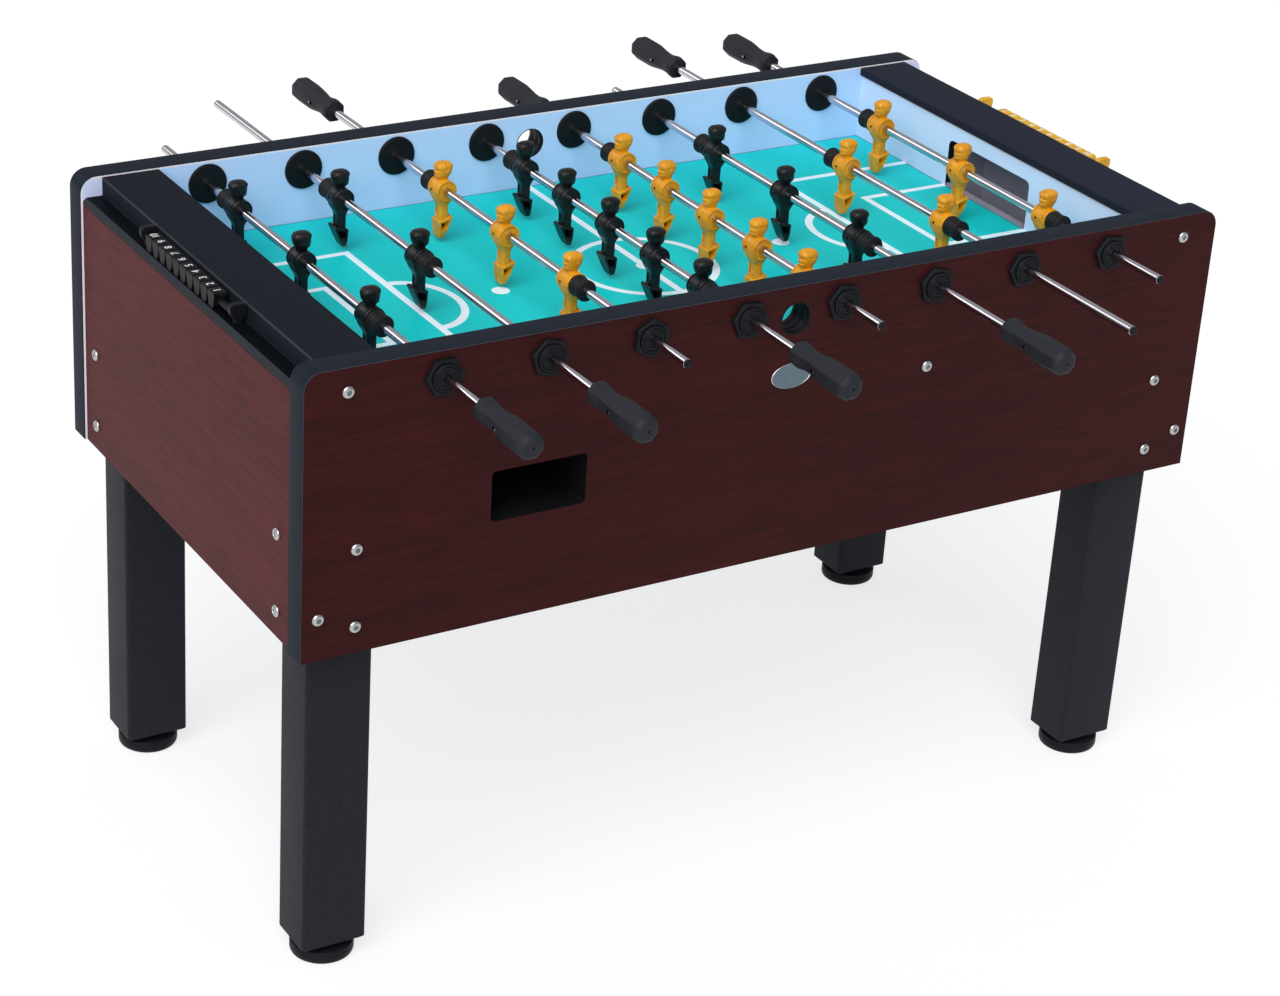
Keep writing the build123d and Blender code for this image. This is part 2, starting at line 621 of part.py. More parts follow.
def rod_pieces(index):
    """The four nodes of one rod: tube with its pins, players, bumpers, and grip with end cap."""
    players, spacing, grip_side, share = RODS[index]
    x = rod_x(index)
    travel = rod_travel(players, spacing)
    rest = share * travel
    grip_start = travel + SIDE_OUTER_Y + GRIP_REACH
    tube_end = grip_start + GRIP_BORE_DEPTH - 1.0
    free_end = travel + SIDE_OUTER_Y - FREE_END_INSET
    place = Pos(x, rest, ROD_Z)
    turned = place if grip_side > 0 else place * Rot(0, 0, 180)
    middles = [(place_in_row - (players - 1) / 2) * spacing for place_in_row in range(players)]

    tube = cylinder_along_y(ROD_DIAMETER, 0, 0, -free_end, tube_end)
    tube -= cylinder_along_y(ROD_DIAMETER - 2 * ROD_WALL, 0, 0, -free_end - 1, tube_end + 1)
    pins = []
    for y in middles:
        tube -= cylinder_along_x(PIN_DIAMETER + 2 * SEAT_GAP, y, 0, -ROD_DIAMETER, ROD_DIAMETER)
        pins.append(cylinder_along_x(PIN_DIAMETER, y, 0, -TORSO_DIAMETER / 2 + 2, TORSO_DIAMETER / 2 - 2))

    figure = player() if grip_side < 0 else half_turn(player())
    bumpers = []
    for side in (-1, 1):
        near = (players - 1) * spacing / 2 + TORSO_WIDTH / 2 + MOVING_GAP
        limits = sorted((side * near, side * (near + BUMPER_LENGTH)))
        ring = cylinder_along_y(BUMPER_DIAMETER, 0, 0, *limits)
        ring = fillet(ring.edges(), 1.5)
        hole_diameter = ROD_DIAMETER + 2 * MOVING_GAP
        bumpers.append(ring - cylinder_along_y(hole_diameter, 0, 0, limits[0] - 1, limits[1] + 1))

    return {
        "tube": [turned * piece for piece in [tube] + pins],
        "players": [place * Pos(0, y, 0) * figure for y in middles],
        "bumpers": [place * ring for ring in bumpers],
        "grip": [turned * Pos(0, grip_start, 0) * grip(), turned * Pos(0, -free_end, 0) * rod_cap()],
    }


def scorer_frame():
    """The right scorer's rail with a bracket at each end: a wide flat head on a narrow stem."""
    rail = box_between(
        BEAD_X - RAIL_WIDTH / 2,
        BEAD_X + RAIL_WIDTH / 2,
        -BRACKET_Y,
        BRACKET_Y,
        RAIL_Z - RAIL_HEIGHT / 2,
        RAIL_Z + RAIL_HEIGHT / 2,
    )
    head_low = CABINET_TOP - BRACKET_HEAD_HEIGHT
    half = [
        (BRACKET_STEM / 2, LEDGE_TOP),
        (BRACKET_STEM / 2, head_low - BRACKET_FLARE),
        (BRACKET_WIDTH / 2, head_low),
        (BRACKET_WIDTH / 2, CABINET_TOP),
    ]
    outline = half + [(-across, height) for across, height in reversed(half)]
    face = make_face(Polyline(*outline, close=True))
    bracket = sweep_along_y(face, -BRACKET_THICKNESS / 2, BRACKET_THICKNESS / 2)
    frame = rail
    for side in (-1, 1):
        frame += Pos(BEAD_X, side * BRACKET_Y, 0) * bracket
    return frame


def scorer_beads(shift):
    """The right scorer's ten beads, with the row's middle at y = shift."""
    low = LEDGE_TOP + MOVING_GAP
    block = box_between(
        -BEAD_DEPTH / 2, BEAD_DEPTH / 2, -BEAD_LENGTH / 2, BEAD_LENGTH / 2, low, LEDGE_TOP + BEAD_HEIGHT
    )
    block = fillet(block.edges().filter_by(Axis.Z), 4.0)
    block = fillet(block.edges().group_by(Axis.Z)[-1], 2.0)
    slot_x = RAIL_WIDTH / 2 + MOVING_GAP
    slot_z = RAIL_HEIGHT / 2 + MOVING_GAP
    block -= box_between(-slot_x, slot_x, -BEAD_LENGTH, BEAD_LENGTH, RAIL_Z - slot_z, RAIL_Z + slot_z)
    beads = []
    for number in range(BEAD_COUNT):
        y = shift + (number - (BEAD_COUNT - 1) / 2) * BEAD_PITCH
        beads.append(Pos(BEAD_X, y, 0) * block)
    return beads


def build():
    """Every node of the table by name, as a list of solids."""
    front = front_side_panel()
    right_end = end_panel()
    right_wall = goal_wall()
    right_shelf = score_shelf()
    right_frame = scorer_frame()
    nodes = {
        "front_side_panel": [front],
        "back_side_panel": [half_turn(front)],
        "right_end_panel": [right_end],
        "left_end_panel": [half_turn(right_end)],
        "playfield": [playfield()],
        "field_beams": field_beams(),
        "right_goal_wall": [right_wall],
        "left_goal_wall": [half_turn(right_wall)],
        "right_score_shelf": [right_shelf],
        "left_score_shelf": [half_turn(right_shelf)],
        "goal_ramps": [goal_ramp(), half_turn(goal_ramp())],
        "return_troughs": [return_trough(), half_turn(return_trough())],
        "serve_rings": [serve_ring(), half_turn(serve_ring())],
        "right_scorer_frame": [right_frame],
        "left_scorer_frame": [half_turn(right_frame)],
        "right_scorer_beads": scorer_beads(BEAD_REST_RIGHT),
        "left_scorer_beads": [half_turn(bead) for bead in scorer_beads(-BEAD_REST_LEFT)],
        "cabinet_bolts": cabinet_bolts(),
    }
    bushings, nuts = [], []
    for index in range(len(RODS)):
        bushing = rod_bushing(rod_x(index))
        nut = bushing_nut(rod_x(index), NUT_TURNS[index])
        bushings += [bushing, half_turn(bushing)]
        nuts += [nut, half_turn(nut)]
        for kind, solids in rod_pieces(index).items():
            nodes[f"rod_{index + 1}_{kind}"] = solids
    nodes["rod_bushings"] = bushings
    nodes["bushing_nuts"] = nuts
    for side_name, side in (("front", -1), ("back", 1)):
        for end_name, end in (("left", -1), ("right", 1)):
            nodes[f"{side_name}_{end_name}_leg"] = [leg(end, side)]
            nodes[f"{side_name}_{end_name}_leveller"] = [leveller(end, side)]
    return nodes


def main():
    """Write one STEP file for each node."""
    os.makedirs("parts", exist_ok=True)
    for name, solids in build().items():
        shape = solids[0] if len(solids) == 1 else Compound(solids)
        shape.label = name
        export_step(shape, f"parts/{name}.step")


if __name__ == "__main__":
    main()
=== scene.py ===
"""Looks of the foosball table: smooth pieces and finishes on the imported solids.

Metres, in the frame of the solids: X runs along the table, Y across it with the front at -Y,
and Z is up from the floor.
"""
import json
import math

import bmesh
import bpy
import numpy as np
from mathutils import Matrix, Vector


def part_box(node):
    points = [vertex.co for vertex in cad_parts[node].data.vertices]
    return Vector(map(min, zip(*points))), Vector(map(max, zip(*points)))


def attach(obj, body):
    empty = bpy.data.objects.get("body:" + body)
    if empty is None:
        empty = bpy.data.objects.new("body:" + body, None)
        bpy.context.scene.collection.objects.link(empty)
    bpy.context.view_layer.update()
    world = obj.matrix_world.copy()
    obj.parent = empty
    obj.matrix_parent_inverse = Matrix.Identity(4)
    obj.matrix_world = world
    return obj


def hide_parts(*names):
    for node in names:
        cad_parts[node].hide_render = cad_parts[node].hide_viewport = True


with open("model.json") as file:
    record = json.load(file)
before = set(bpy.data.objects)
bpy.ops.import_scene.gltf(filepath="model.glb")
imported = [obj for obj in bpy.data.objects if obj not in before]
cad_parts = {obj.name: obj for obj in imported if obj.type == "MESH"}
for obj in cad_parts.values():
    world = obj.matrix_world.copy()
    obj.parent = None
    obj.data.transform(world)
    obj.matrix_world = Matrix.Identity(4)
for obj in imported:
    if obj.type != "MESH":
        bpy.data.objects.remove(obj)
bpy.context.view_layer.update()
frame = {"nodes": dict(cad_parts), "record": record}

MM = 0.001

# Camera of the photo, whose picture is 1280 by 996
PHOTO_WIDTH = 1280.0
CAMERA_PLACE = (-2.19418, -3.45315, 2.44389)
CAMERA_RIGHT = (0.86661487, -0.49651665, 0.04949617)
CAMERA_UP = (0.17698515, 0.39861412, 0.89987946)
CAMERA_BACK = (-0.46653501, -0.77108884, 0.433321)
FOCAL_PIXELS = 3092.01
SENSOR_WIDTH = 36.0
SHIFT = (0.05422, -0.03238)

# Rods, counted from the left end
MEN_ON_ROD = (3, 2, 3, 5, 5, 3, 2, 3)
FRONT_GRIP_RODS = (1, 2, 4, 6)
ROD_HEIGHT = 0.866
GRIP_LENGTH = 0.124
CAP_LENGTH = 2.5 * MM
MAN_WIDTH = 30 * MM
BUMPER_LENGTH = 26 * MM

# Cabinet: distances from the middle of the table, and heights
SIDE_OUTER_Y = 0.381
SIDE_INNER_Y = 0.341
SIDE_TOP = 0.900
END_OUTER_X = 0.713
FIELD_END_X = 0.6015
FIELD_TOP = 0.7845
GOAL_WALL_BACK_X = 0.6165
SERVE_HEIGHT = 0.854

# Score shelves: a step leads down to a ledge, and a foot stands under both
SHELF_INNER_X = 0.5985
SHELF_STEP_X = 0.684
SHELF_TOP = 0.898
SHELF_UNDERSIDE = 0.886
LEDGE_TOP = 0.871
LEDGE_UNDERSIDE = 0.861
LEDGE_BEVEL = 5 * MM
SHELF_FOOT_X = (0.6315, 0.688)
SHELF_FOOT_UNDERSIDE = 0.852
SHELF_ROUNDING = 1.5 * MM

# Scorers
BEAD_COUNT = 10
BEAD_X = 0.6975
BEAD_DEPTH = 19 * MM
BEAD_LENGTH = 22 * MM
RAIL_HEIGHT = 0.8825
BRACKET_Y = 0.1440
BRACKET_HALF_WIDTH = 12 * MM
NUMERAL_SIZE = 15 * MM
NUMERAL_THICKNESS = 0.15 * MM

# Edge moulding, with a painted highlight as a paler line along its outer shoulder
EDGE_CORNER_RADIUS = 0.023
EDGE_PROUD = 0.9 * MM
EDGE_DEPTH = 2.5 * MM
EDGE_INSET = 0.35 * MM
EDGE_ROUNDING = 1.6 * MM
EDGE_SHOULDER = 1.2 * MM

# Badge plate: the height of its middle, and its height over its length
BADGE_HEIGHT = 0.772
BADGE_SQUEEZE = 18.5 / 32.0

# Legs
LEG_CORNER_RADIUS = 6 * MM
LEG_END_ROUNDING = 1.5 * MM

# Bolts: distances from the middle of the table, and heights
LEG_BOLT_X = 0.641
LEG_BOLT_Y = 0.302
LEG_BOLT_HEIGHTS = (0.538, 0.6485)
CORNER_BOLT = (0.6935, 0.5595)
SHELF_BOLT = (0.657, 0.868)
BEAM_BOLT = (0.225, 0.745)

# Nuts, in degrees: the turn that puts a flat on top, and each one's turn from it, from the left end
FLAT_ON_TOP = -30
NUT_TURNS = (0, -13, 27, -6, -9, -16, -3, -8)

# How near to a face a point lies that counts as on it
SKIN = 0.02 * MM

# Widths of the thin lines along the top of pale boards and of the painted shade line round the field
RIM_LINE = 2.4 * MM
FIELD_SHADE_LINE = 1.8 * MM

# Faces that meet at a larger angle, in degrees, have a crisp edge between them
SHARP_ANGLE = 35
GRIP_SHARP_ANGLE = 20

# Sky
SKY_COLOUR = (0.94, 0.97, 1.0, 1.0)
SKY_STRENGTH = 0.44

# Field lines: a box is given by its front line's and its side line's distance from the middle
LINE_WIDTH = 10.5 * MM
PENALTY_BOX = (0.370, 0.207)
GOAL_BOX = (0.453, 0.102)
ARC_AXES = (0.068, 0.083)
CENTRE_RADIUS = 0.103
SPOT_X = 0.233
SPOT_RADIUS = 13 * MM
CENTRE_SPOT_RADIUS = 12 * MM

body_of_node = {
    node: body for body, nodes in frame["record"]["behaviour"]["bodies"].items() for node in nodes
}


# Shapes

class Shape:
    """Points and faces of one closed surface, with the number of its finish in the piece."""

    def __init__(self, points, faces, finish=0):
        self.points = np.asarray(points, float)
        self.faces = faces
        self.finish = finish

    def at(self, place, turn=np.eye(3)):
        """The same surface turned by a 3 by 3 matrix and then set at place."""
        return Shape(self.points @ np.asarray(turn).T + np.asarray(place), self.faces, self.finish)


def facing(direction):
    """A turn that takes Z to direction, which is not upright, leaves X level and, for a level direction,
    takes Y to up."""
    forward = np.asarray(direction, float)
    aside = np.cross((0.0, 0.0, 1.0), forward)
    aside = aside / np.linalg.norm(aside)
    return np.stack([aside, np.cross(forward, aside), forward], axis=1)


def turn_about(forward, angle):
    """A turn by angle about Z followed by the turn of facing(forward)."""
    cosine = math.cos(angle)
    sine = math.sin(angle)
    return facing(forward) @ np.array([[cosine, -sine, 0], [sine, cosine, 0], [0, 0, 1]])


def grid_faces(rows, columns, ring=False):
    """Faces of a grid whose columns go round. The first and last rows are closed with one face
    each, or, in a ring, joined to each other."""
    row = np.arange(rows if ring else rows - 1)[:, None]
    column = np.arange(columns)[None, :]
    after = (column + 1) % columns
    here = row * columns
    there = (row + 1) % rows * columns
    corners = np.broadcast_arrays(here + column, here + after, there + after, there + column)
    faces = np.stack(corners, axis=-1).reshape(-1, 4).tolist()
    if not ring:
        faces.append(list(range(columns)))
        faces.append(list(range((rows - 1) * columns, rows * columns)))
    return faces


def lofted(rings, ring=False, finish=0):
    """A surface through rings, an array of rows by columns by 3."""
    rings = np.asarray(rings, float)
    return Shape(rings.reshape(-1, 3), grid_faces(*rings.shape[:2], ring), finish)


def woven(x, y, z, ring=False, finish=0):
    """As lofted, from the X, Y and Z of the rings' points."""
    return lofted(np.stack(np.broadcast_arrays(x, y, z), axis=-1), ring, finish)


def turned(profile, segments, ring=False, finish=0):
    """A turned shape about Z: each profile point, a height and a radius, goes round in a circle. With a
    third number per point, 0 keeps the circle and 1 gives the hexagon round it, whose radius is that of
    the circle over the cosine of the angle from the nearest flat."""
    height, radius, *share = np.asarray(profile, float).T[:, :, None]
    angle = np.linspace(0, 2 * np.pi, segments, endpoint=False)
    if share:
        from_flat = (angle + np.pi / 6) % (np.pi / 3) - np.pi / 6
        radius = radius * (1 - share[0] + share[0] / np.cos(from_flat))
    return woven(radius * np.cos(angle), radius * np.sin(angle), height, ring, finish)


def softened(corners, radius, steps=5):
    """An outline with its corners rounded: each corner becomes the quadratic curve that leaves the
    side before it and joins the side after it, both at the distance radius or, where a side is too
    short for that, just before its middle."""
    corner = np.asarray(corners, float)
    before = np.roll(corner, 1, axis=0) - corner
    after = np.roll(corner, -1, axis=0) - corner
    before_length = np.linalg.norm(before, axis=1)
    after_length = np.linalg.norm(after, axis=1)
    reach = np.minimum(radius, 0.49 * np.minimum(before_length, after_length))
    start = corner + before * (reach / before_length)[:, None]
    end = corner + after * (reach / after_length)[:, None]
    t = np.linspace(0, 1, steps)[None, :, None]
    curve = (1 - t) ** 2 * start[:, None] + 2 * t * (1 - t) * corner[:, None] + t**2 * end[:, None]
    return curve.reshape(-1, corner.shape[1])


def rounded_block(size, radius, finish=0):
    """A block with round edges: a sphere of that radius whose eight parts are moved apart to the
    block's corners, so that flat faces open between them."""
    steps = 4
    quarter = np.linspace(0, np.pi / 2, steps)
    around = (np.arange(4)[:, None] * np.pi / 2 + quarter).ravel()
    middle = (np.repeat(np.arange(4), steps) + 0.5) * np.pi / 2
    tilt = np.concatenate([quarter - np.pi / 2, quarter])[:, None]
    rise = np.repeat([-1.0, 1.0], steps)[:, None]
    inner = np.asarray(size) / 2 - radius
    x = inner[0] * np.sign(np.cos(middle)) + radius * np.cos(tilt) * np.cos(around)
    y = inner[1] * np.sign(np.sin(middle)) + radius * np.cos(tilt) * np.sin(around)
    z = inner[2] * rise + radius * np.sin(tilt)
    return woven(x, y, z, finish=finish)


def smooth_step(value, low, high):
    """0 below low, 1 above high, and between them the curve 3 t squared minus 2 t cubed."""
    t = np.clip((value - low) / (high - low), 0, 1)
    return t * t * (3 - 2 * t)


def hump(value, middle, width):
    """A bell curve of height 1 at middle that falls off over width."""
    return np.exp(-(((value - middle) / width) ** 2))


def make_piece(name, shapes, finishes, body, node=None, sharp=SHARP_ANGLE):
    """Joins shapes to one mesh that rides on a body, and lets it stand for a CAD node if one is named."""
    starts = np.cumsum([0] + [len(shape.points) for shape in shapes])
    faces = [
        [start + corner for corner in face]
        for start, shape in zip(starts.tolist(), shapes)
        for face in shape.faces
    ]
    mesh = bpy.data.meshes.new(name)
    mesh.from_pydata(np.concatenate([shape.points for shape in shapes]), [], faces)
    for finish in finishes:
        mesh.materials.append(finish)
    numbers = np.concatenate([np.full(len(shape.faces), shape.finish) for shape in shapes])
    mesh.polygons.foreach_set("material_index", numbers.astype(np.int32))
    work = bmesh.new()
    work.from_mesh(mesh)
    bmesh.ops.remove_doubles(work, verts=work.verts, dist=1e-6)
    bmesh.ops.recalc_face_normals(work, faces=work.faces)
    work.to_mesh(mesh)
    work.free()
    mesh.polygons.foreach_set("use_smooth", np.ones(len(mesh.polygons), bool))
    mesh.set_sharp_from_angle(angle=math.radians(sharp))
    piece = bpy.data.objects.new(name, mesh)
    bpy.context.scene.collection.objects.link(piece)
    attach(piece, body)
    if node:
        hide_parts(node)
    return piece


def stand_in(node, shapes, *finishes, sharp=SHARP_ANGLE):
    """A piece of new shapes in the place of a CAD node, on the node's body."""
    body = body_of_node[node]
    return make_piece(f"{node}_looks", shapes, finishes, body, node, sharp)


# Finishes

class Value:
    """A number that varies over a surface. Sums with it add Math nodes to its finish."""

    def __init__(self, finish, socket):
        self.finish = finish
        self.socket = socket

    def math(self, operation, first, second=0.0):
        """The result of one Math node."""
        return self.finish.node("ShaderNodeMath", {"operation": operation}, {0: first, 1: second})

    def __add__(self, other):
        return self.math("ADD", self, other)

    def __radd__(self, other):
        return self.math("ADD", other, self)

    def __sub__(self, other):
        return self.math("SUBTRACT", self, other)

    def __rsub__(self, other):
        return self.math("SUBTRACT", other, self)

    def __mul__(self, other):
        return self.math("MULTIPLY", self, other)

    def __rmul__(self, other):
        return self.math("MULTIPLY", other, self)

    def __truediv__(self, other):
        return self.math("DIVIDE", self, other)

    def __pow__(self, other):
        return self.math("POWER", self, other)

    def __abs__(self):
        return self.math("ABSOLUTE", self)

    def below(self, limit):
        """1 where the value is less than limit, and 0 elsewhere."""
        return self.math("LESS_THAN", self, limit)

    def above(self, limit):
        """1 where the value is more than limit, and 0 elsewhere."""
        return self.math("GREATER_THAN", self, limit)

    def either(self, other):
        """The larger of two values, so 1 where one of them is 1."""
        return self.math("MAXIMUM", self, other)

    def both(self, other):
        """The smaller of two values, so 1 only where both are 1."""
        return self.math("MINIMUM", self, other)

    def rise(self, low, high):
        """0 below low, 1 above high, smooth between."""
        ends = {"Value": self, "From Min": low, "From Max": high}
        return self.finish.node("ShaderNodeMapRange", {"interpolation_type": "SMOOTHSTEP"}, ends)


class Finish:
    """One material: its main shader with fixed numbers, and a short way to add nodes."""

    def __init__(self, name, **fixed):
        self.material = bpy.data.materials.new(name)
        self.material.use_nodes = True
        self.tree = self.material.node_tree
        self.shader = self.tree.nodes["Principled BSDF"]
        for socket, value in fixed.items():
            self.shader.inputs[socket.replace("_", " ")].default_value = value

    def put(self, socket, value):
        """Gives a socket a value, or links it to one."""
        if isinstance(value, Value):
            self.tree.links.new(value.socket, socket)
        elif isinstance(value, tuple) and socket.type == "RGBA":
            socket.default_value = (*value, 1.0)
        else:
            socket.default_value = value

    def node(self, kind, settings=None, inputs=None, output=0):
        """Adds a node, sets it, feeds its sockets and returns one of its outputs."""
        node = self.tree.nodes.new(kind)
        for name, value in (settings or {}).items():
            setattr(node, name, value)
        for name, value in (inputs or {}).items():
            self.put(node.inputs[name], value)
        return Value(self, node.outputs[output])

    def feed(self, name, value):
        """Gives one of the main shader's sockets a value."""
        self.put(self.shader.inputs[name], value)

    def place(self):
        """The point on the object, as a vector."""
        return self.node("ShaderNodeTexCoord", output="Object")

    def axes(self):
        """The point's X, Y and Z as three values."""
        split = self.tree.nodes.new("ShaderNodeSeparateXYZ")
        self.put(split.inputs[0], self.place())
        return [Value(self, output) for output in split.outputs]

    def noise(self, scale, detail=4.0, roughness=0.55, distortion=0.0):
        """Cloudy noise from about 0 to 1, with a scale for each axis in lumps per metre."""
        settings = {"operation": "MULTIPLY"}
        scaled = self.node("ShaderNodeVectorMath", settings, {0: self.place(), 1: scale})
        inputs = {"Vector": scaled, "Scale": 1.0, "Detail": detail}
        inputs |= {"Roughness": roughness, "Distortion": distortion}
        return self.node("ShaderNodeTexNoise", inputs=inputs)

    def mix(self, share, first, second):
        """A colour that goes from first to second as share goes from 0 to 1."""
        settings = {"data_type": "RGBA"}
        return self.node("ShaderNodeMix", settings, {0: share, 6: first, 7: second}, output=2)

    def bump(self, height, distance, strength):
        """Shades the surface as if raised by height times distance, as strongly as strength says."""
        inputs = {"Height": height, "Distance": distance, "Strength": strength}
        self.feed("Normal", self.node("ShaderNodeBump", inputs=inputs))


def even(scale):
    """The same scale for all three axes."""
    return (scale, scale, scale)


def mahogany_colour(finish, along_x, dark, light):
    """Fine wood grain along one axis: soft short streaks between two colours, and finer dark lines."""
    def grain(along, across):
        """Scales for the three axes from the scales along and across the grain."""
        return (along, across, across) if along_x else (across, along, across)

    broad = finish.noise(grain(2.0, 16.0), detail=3.0)
    streaks = finish.noise(grain(12.0, 150.0), detail=5.0, roughness=0.65, distortion=0.3)
    lines = finish.noise(grain(26.0, 520.0), detail=3.0, roughness=0.7)
    wood = finish.mix((0.35 * broad + 0.65 * streaks).rise(0.36, 0.64), dark, light)
    darker = tuple(0.62 * part for part in dark)
    return finish.mix(lines.rise(0.50, 0.70) * 0.45, wood, darker), lines


def panel_finish():
    """Side panels: wood grain outside, black on the cut edges and pale laminate inside, which is whiter
    beyond the score shelves and in a thin line along the top, and has a painted highlight in the narrow
    strips beyond the end panels."""
    finish = Finish("side_panel_laminate", Specular_IOR_Level=0.08)
    wood, lines = mahogany_colour(finish, True, (0.0265, 0.0052, 0.0058), (0.044, 0.0068, 0.0070))
    x, y, z = finish.axes()
    outside = abs(y).above(SIDE_OUTER_Y - SKIN)
    inside = abs(y).below(SIDE_INNER_Y + SKIN)
    pale = finish.mix(finish.noise(even(3.0)), (0.46, 0.65, 0.96), (0.50, 0.68, 0.98))
    pale = finish.mix(abs(x).above(SHELF_STEP_X), pale, (0.62, 0.69, 0.93))
    # Painted highlight on the narrow strips beyond the end panels; the thin line along the top takes the
    # same pale colour.
    strip = abs(x).above(END_OUTER_X).either(z.above(SIDE_TOP - RIM_LINE))
    pale = finish.mix(strip, pale, (0.84, 0.79, 0.84))
    edge = finish.mix(finish.noise(even(400.0)), (0.005, 0.005, 0.006), (0.009, 0.009, 0.010))
    finish.feed("Base Color", finish.mix(inside, finish.mix(outside, edge, wood), pale))
    finish.feed("Roughness", 0.42 + 0.10 * lines - 0.08 * inside)
    finish.bump(lines, 0.05 * MM, 0.2)
    return finish.material


def end_panel_finish():
    """End panels: the same wood grain, along the board, in lighter colours than the side panels' that paint
    in the light on the ends.
    """
    finish = Finish("end_panel_laminate", Specular_IOR_Level=0.05)
    # Lighter copy of the side panels' wood colours: painted light.
    wood, lines = mahogany_colour(finish, False, (0.066, 0.0145, 0.0155), (0.098, 0.0185, 0.0200))
    finish.feed("Base Color", wood)
    finish.feed("Roughness", 0.42 + 0.10 * lines)
    finish.bump(lines, 0.05 * MM, 0.2)
    return finish.material


def field_finish():
    """The field: teal laminate with white lines drawn from distances on the board, and a painted shade line
    round its edges.
    """
    finish = Finish("field_laminate", Specular_IOR_Level=0.1)
    x, y, z = finish.axes()
    along = abs(x)
    across = abs(y)
    half_line = LINE_WIDTH / 2

    def box_line(box):
        """The front and side lines of a box, at both ends of the field."""
        front = abs(along - box[0]).below(half_line).both(across.below(box[1] + half_line))
        side = abs(across - box[1]).below(half_line).both(along.above(box[0]))
        return front.either(side)

    out = (PENALTY_BOX[0] - along) / ARC_AXES[0]
    off = across / ARC_AXES[1]
    arc_edge = half_line / ARC_AXES[0]
    arc = abs((out * out + off * off) ** 0.5 - 1.0).below(arc_edge).both(out.above(0.0))
    from_centre = (x * x + y * y) ** 0.5
    circle = abs(from_centre - CENTRE_RADIUS).below(half_line)
    spot = ((along - SPOT_X) * (along - SPOT_X) + y * y).below(SPOT_RADIUS**2)
    marks = box_line(PENALTY_BOX).either(box_line(GOAL_BOX)).either(arc)
    marks = marks.either(circle).either(spot).either(along.below(half_line))
    marks = marks.either(from_centre.below(CENTRE_SPOT_RADIUS)).both(z.above(FIELD_TOP - 0.5 * MM))
    cloud = finish.noise(even(7.0), detail=5.0)
    teal = finish.mix(cloud, (0.006, 0.54, 0.55), (0.010, 0.60, 0.61))
    # Painted shade: a dark line round the field where it meets the walls.
    edge_shade_line = across.above(SIDE_INNER_Y - FIELD_SHADE_LINE).either(along.above(FIELD_END_X - FIELD_SHADE_LINE))
    teal = finish.mix(edge_shade_line, teal, (0.004, 0.12, 0.13))
    finish.feed("Base Color", finish.mix(marks, teal, (0.80, 0.90, 0.97)))
    finish.feed("Roughness", 0.42 + 0.08 * cloud)
    finish.bump(finish.noise(even(900.0), detail=2.0), 0.05 * MM, 0.2)
    return finish.material


def goal_wall_finish():
    """Goal walls: pale laminate on the faces with a pinkish line under the shelf, black on the cut edges
    and grey on the sill of the goal."""
    finish = Finish("goal_wall_laminate", Specular_IOR_Level=0.15)
    x, _, z = finish.axes()
    along = abs(x)
    cut = along.above(FIELD_END_X + SKIN).both(along.below(GOAL_WALL_BACK_X - SKIN))
    cloud = finish.noise(even(4.0))
    pale = finish.mix(cloud, (0.58, 0.71, 0.96), (0.63, 0.75, 0.98))
    pale = finish.mix(z.above(SHELF_UNDERSIDE - RIM_LINE), pale, (0.70, 0.50, 0.52))
    sill = z.below(FIELD_TOP + 4.0 * MM)
    edge = finish.mix(sill, (0.006, 0.006, 0.008), (0.30, 0.29, 0.37))
    finish.feed("Base Color", finish.mix(cut, pale, edge))
    finish.feed("Roughness", 0.36 + 0.08 * cloud)
    return finish.material


def edge_finish():
    """Edge moulding: black, with a painted highlight as a paler line along its outer shoulder."""
    finish = Finish("edge_moulding", Specular_IOR_Level=0.04)
    across = abs(finish.axes()[1])
    grain = finish.noise(even(1200.0), detail=3.0)
    black = finish.mix(grain, (0.009, 0.013, 0.021), (0.015, 0.019, 0.031))
    # Painted highlight: a paler line along the outer shoulder of the moulding.
    painted_highlight = across.rise(SIDE_OUTER_Y - EDGE_SHOULDER, SIDE_OUTER_Y - 0.4 * EDGE_SHOULDER)
    finish.feed("Base Color", finish.mix(painted_highlight, black, (0.060, 0.060, 0.072)))
    finish.feed("Roughness", 0.40 + 0.12 * grain)
    finish.bump(grain, 0.05 * MM, 0.5)
    return finish.material


def grained_finish(name, dark, light, scale, rough, depth, gloss):
    """A surface of two close colours with a fine grain in its colour, gloss and height."""
    finish = Finish(name, Specular_IOR_Level=gloss)
    grain = finish.noise(even(scale), detail=3.0)
    cloud = finish.noise(even(scale / 40.0), detail=3.0)
    finish.feed("Base Color", finish.mix(0.5 * grain + 0.5 * cloud, dark, light))
    finish.feed("Roughness", rough[0] + (rough[1] - rough[0]) * cloud)
    finish.bump(grain, depth, 0.5)
    return finish.material


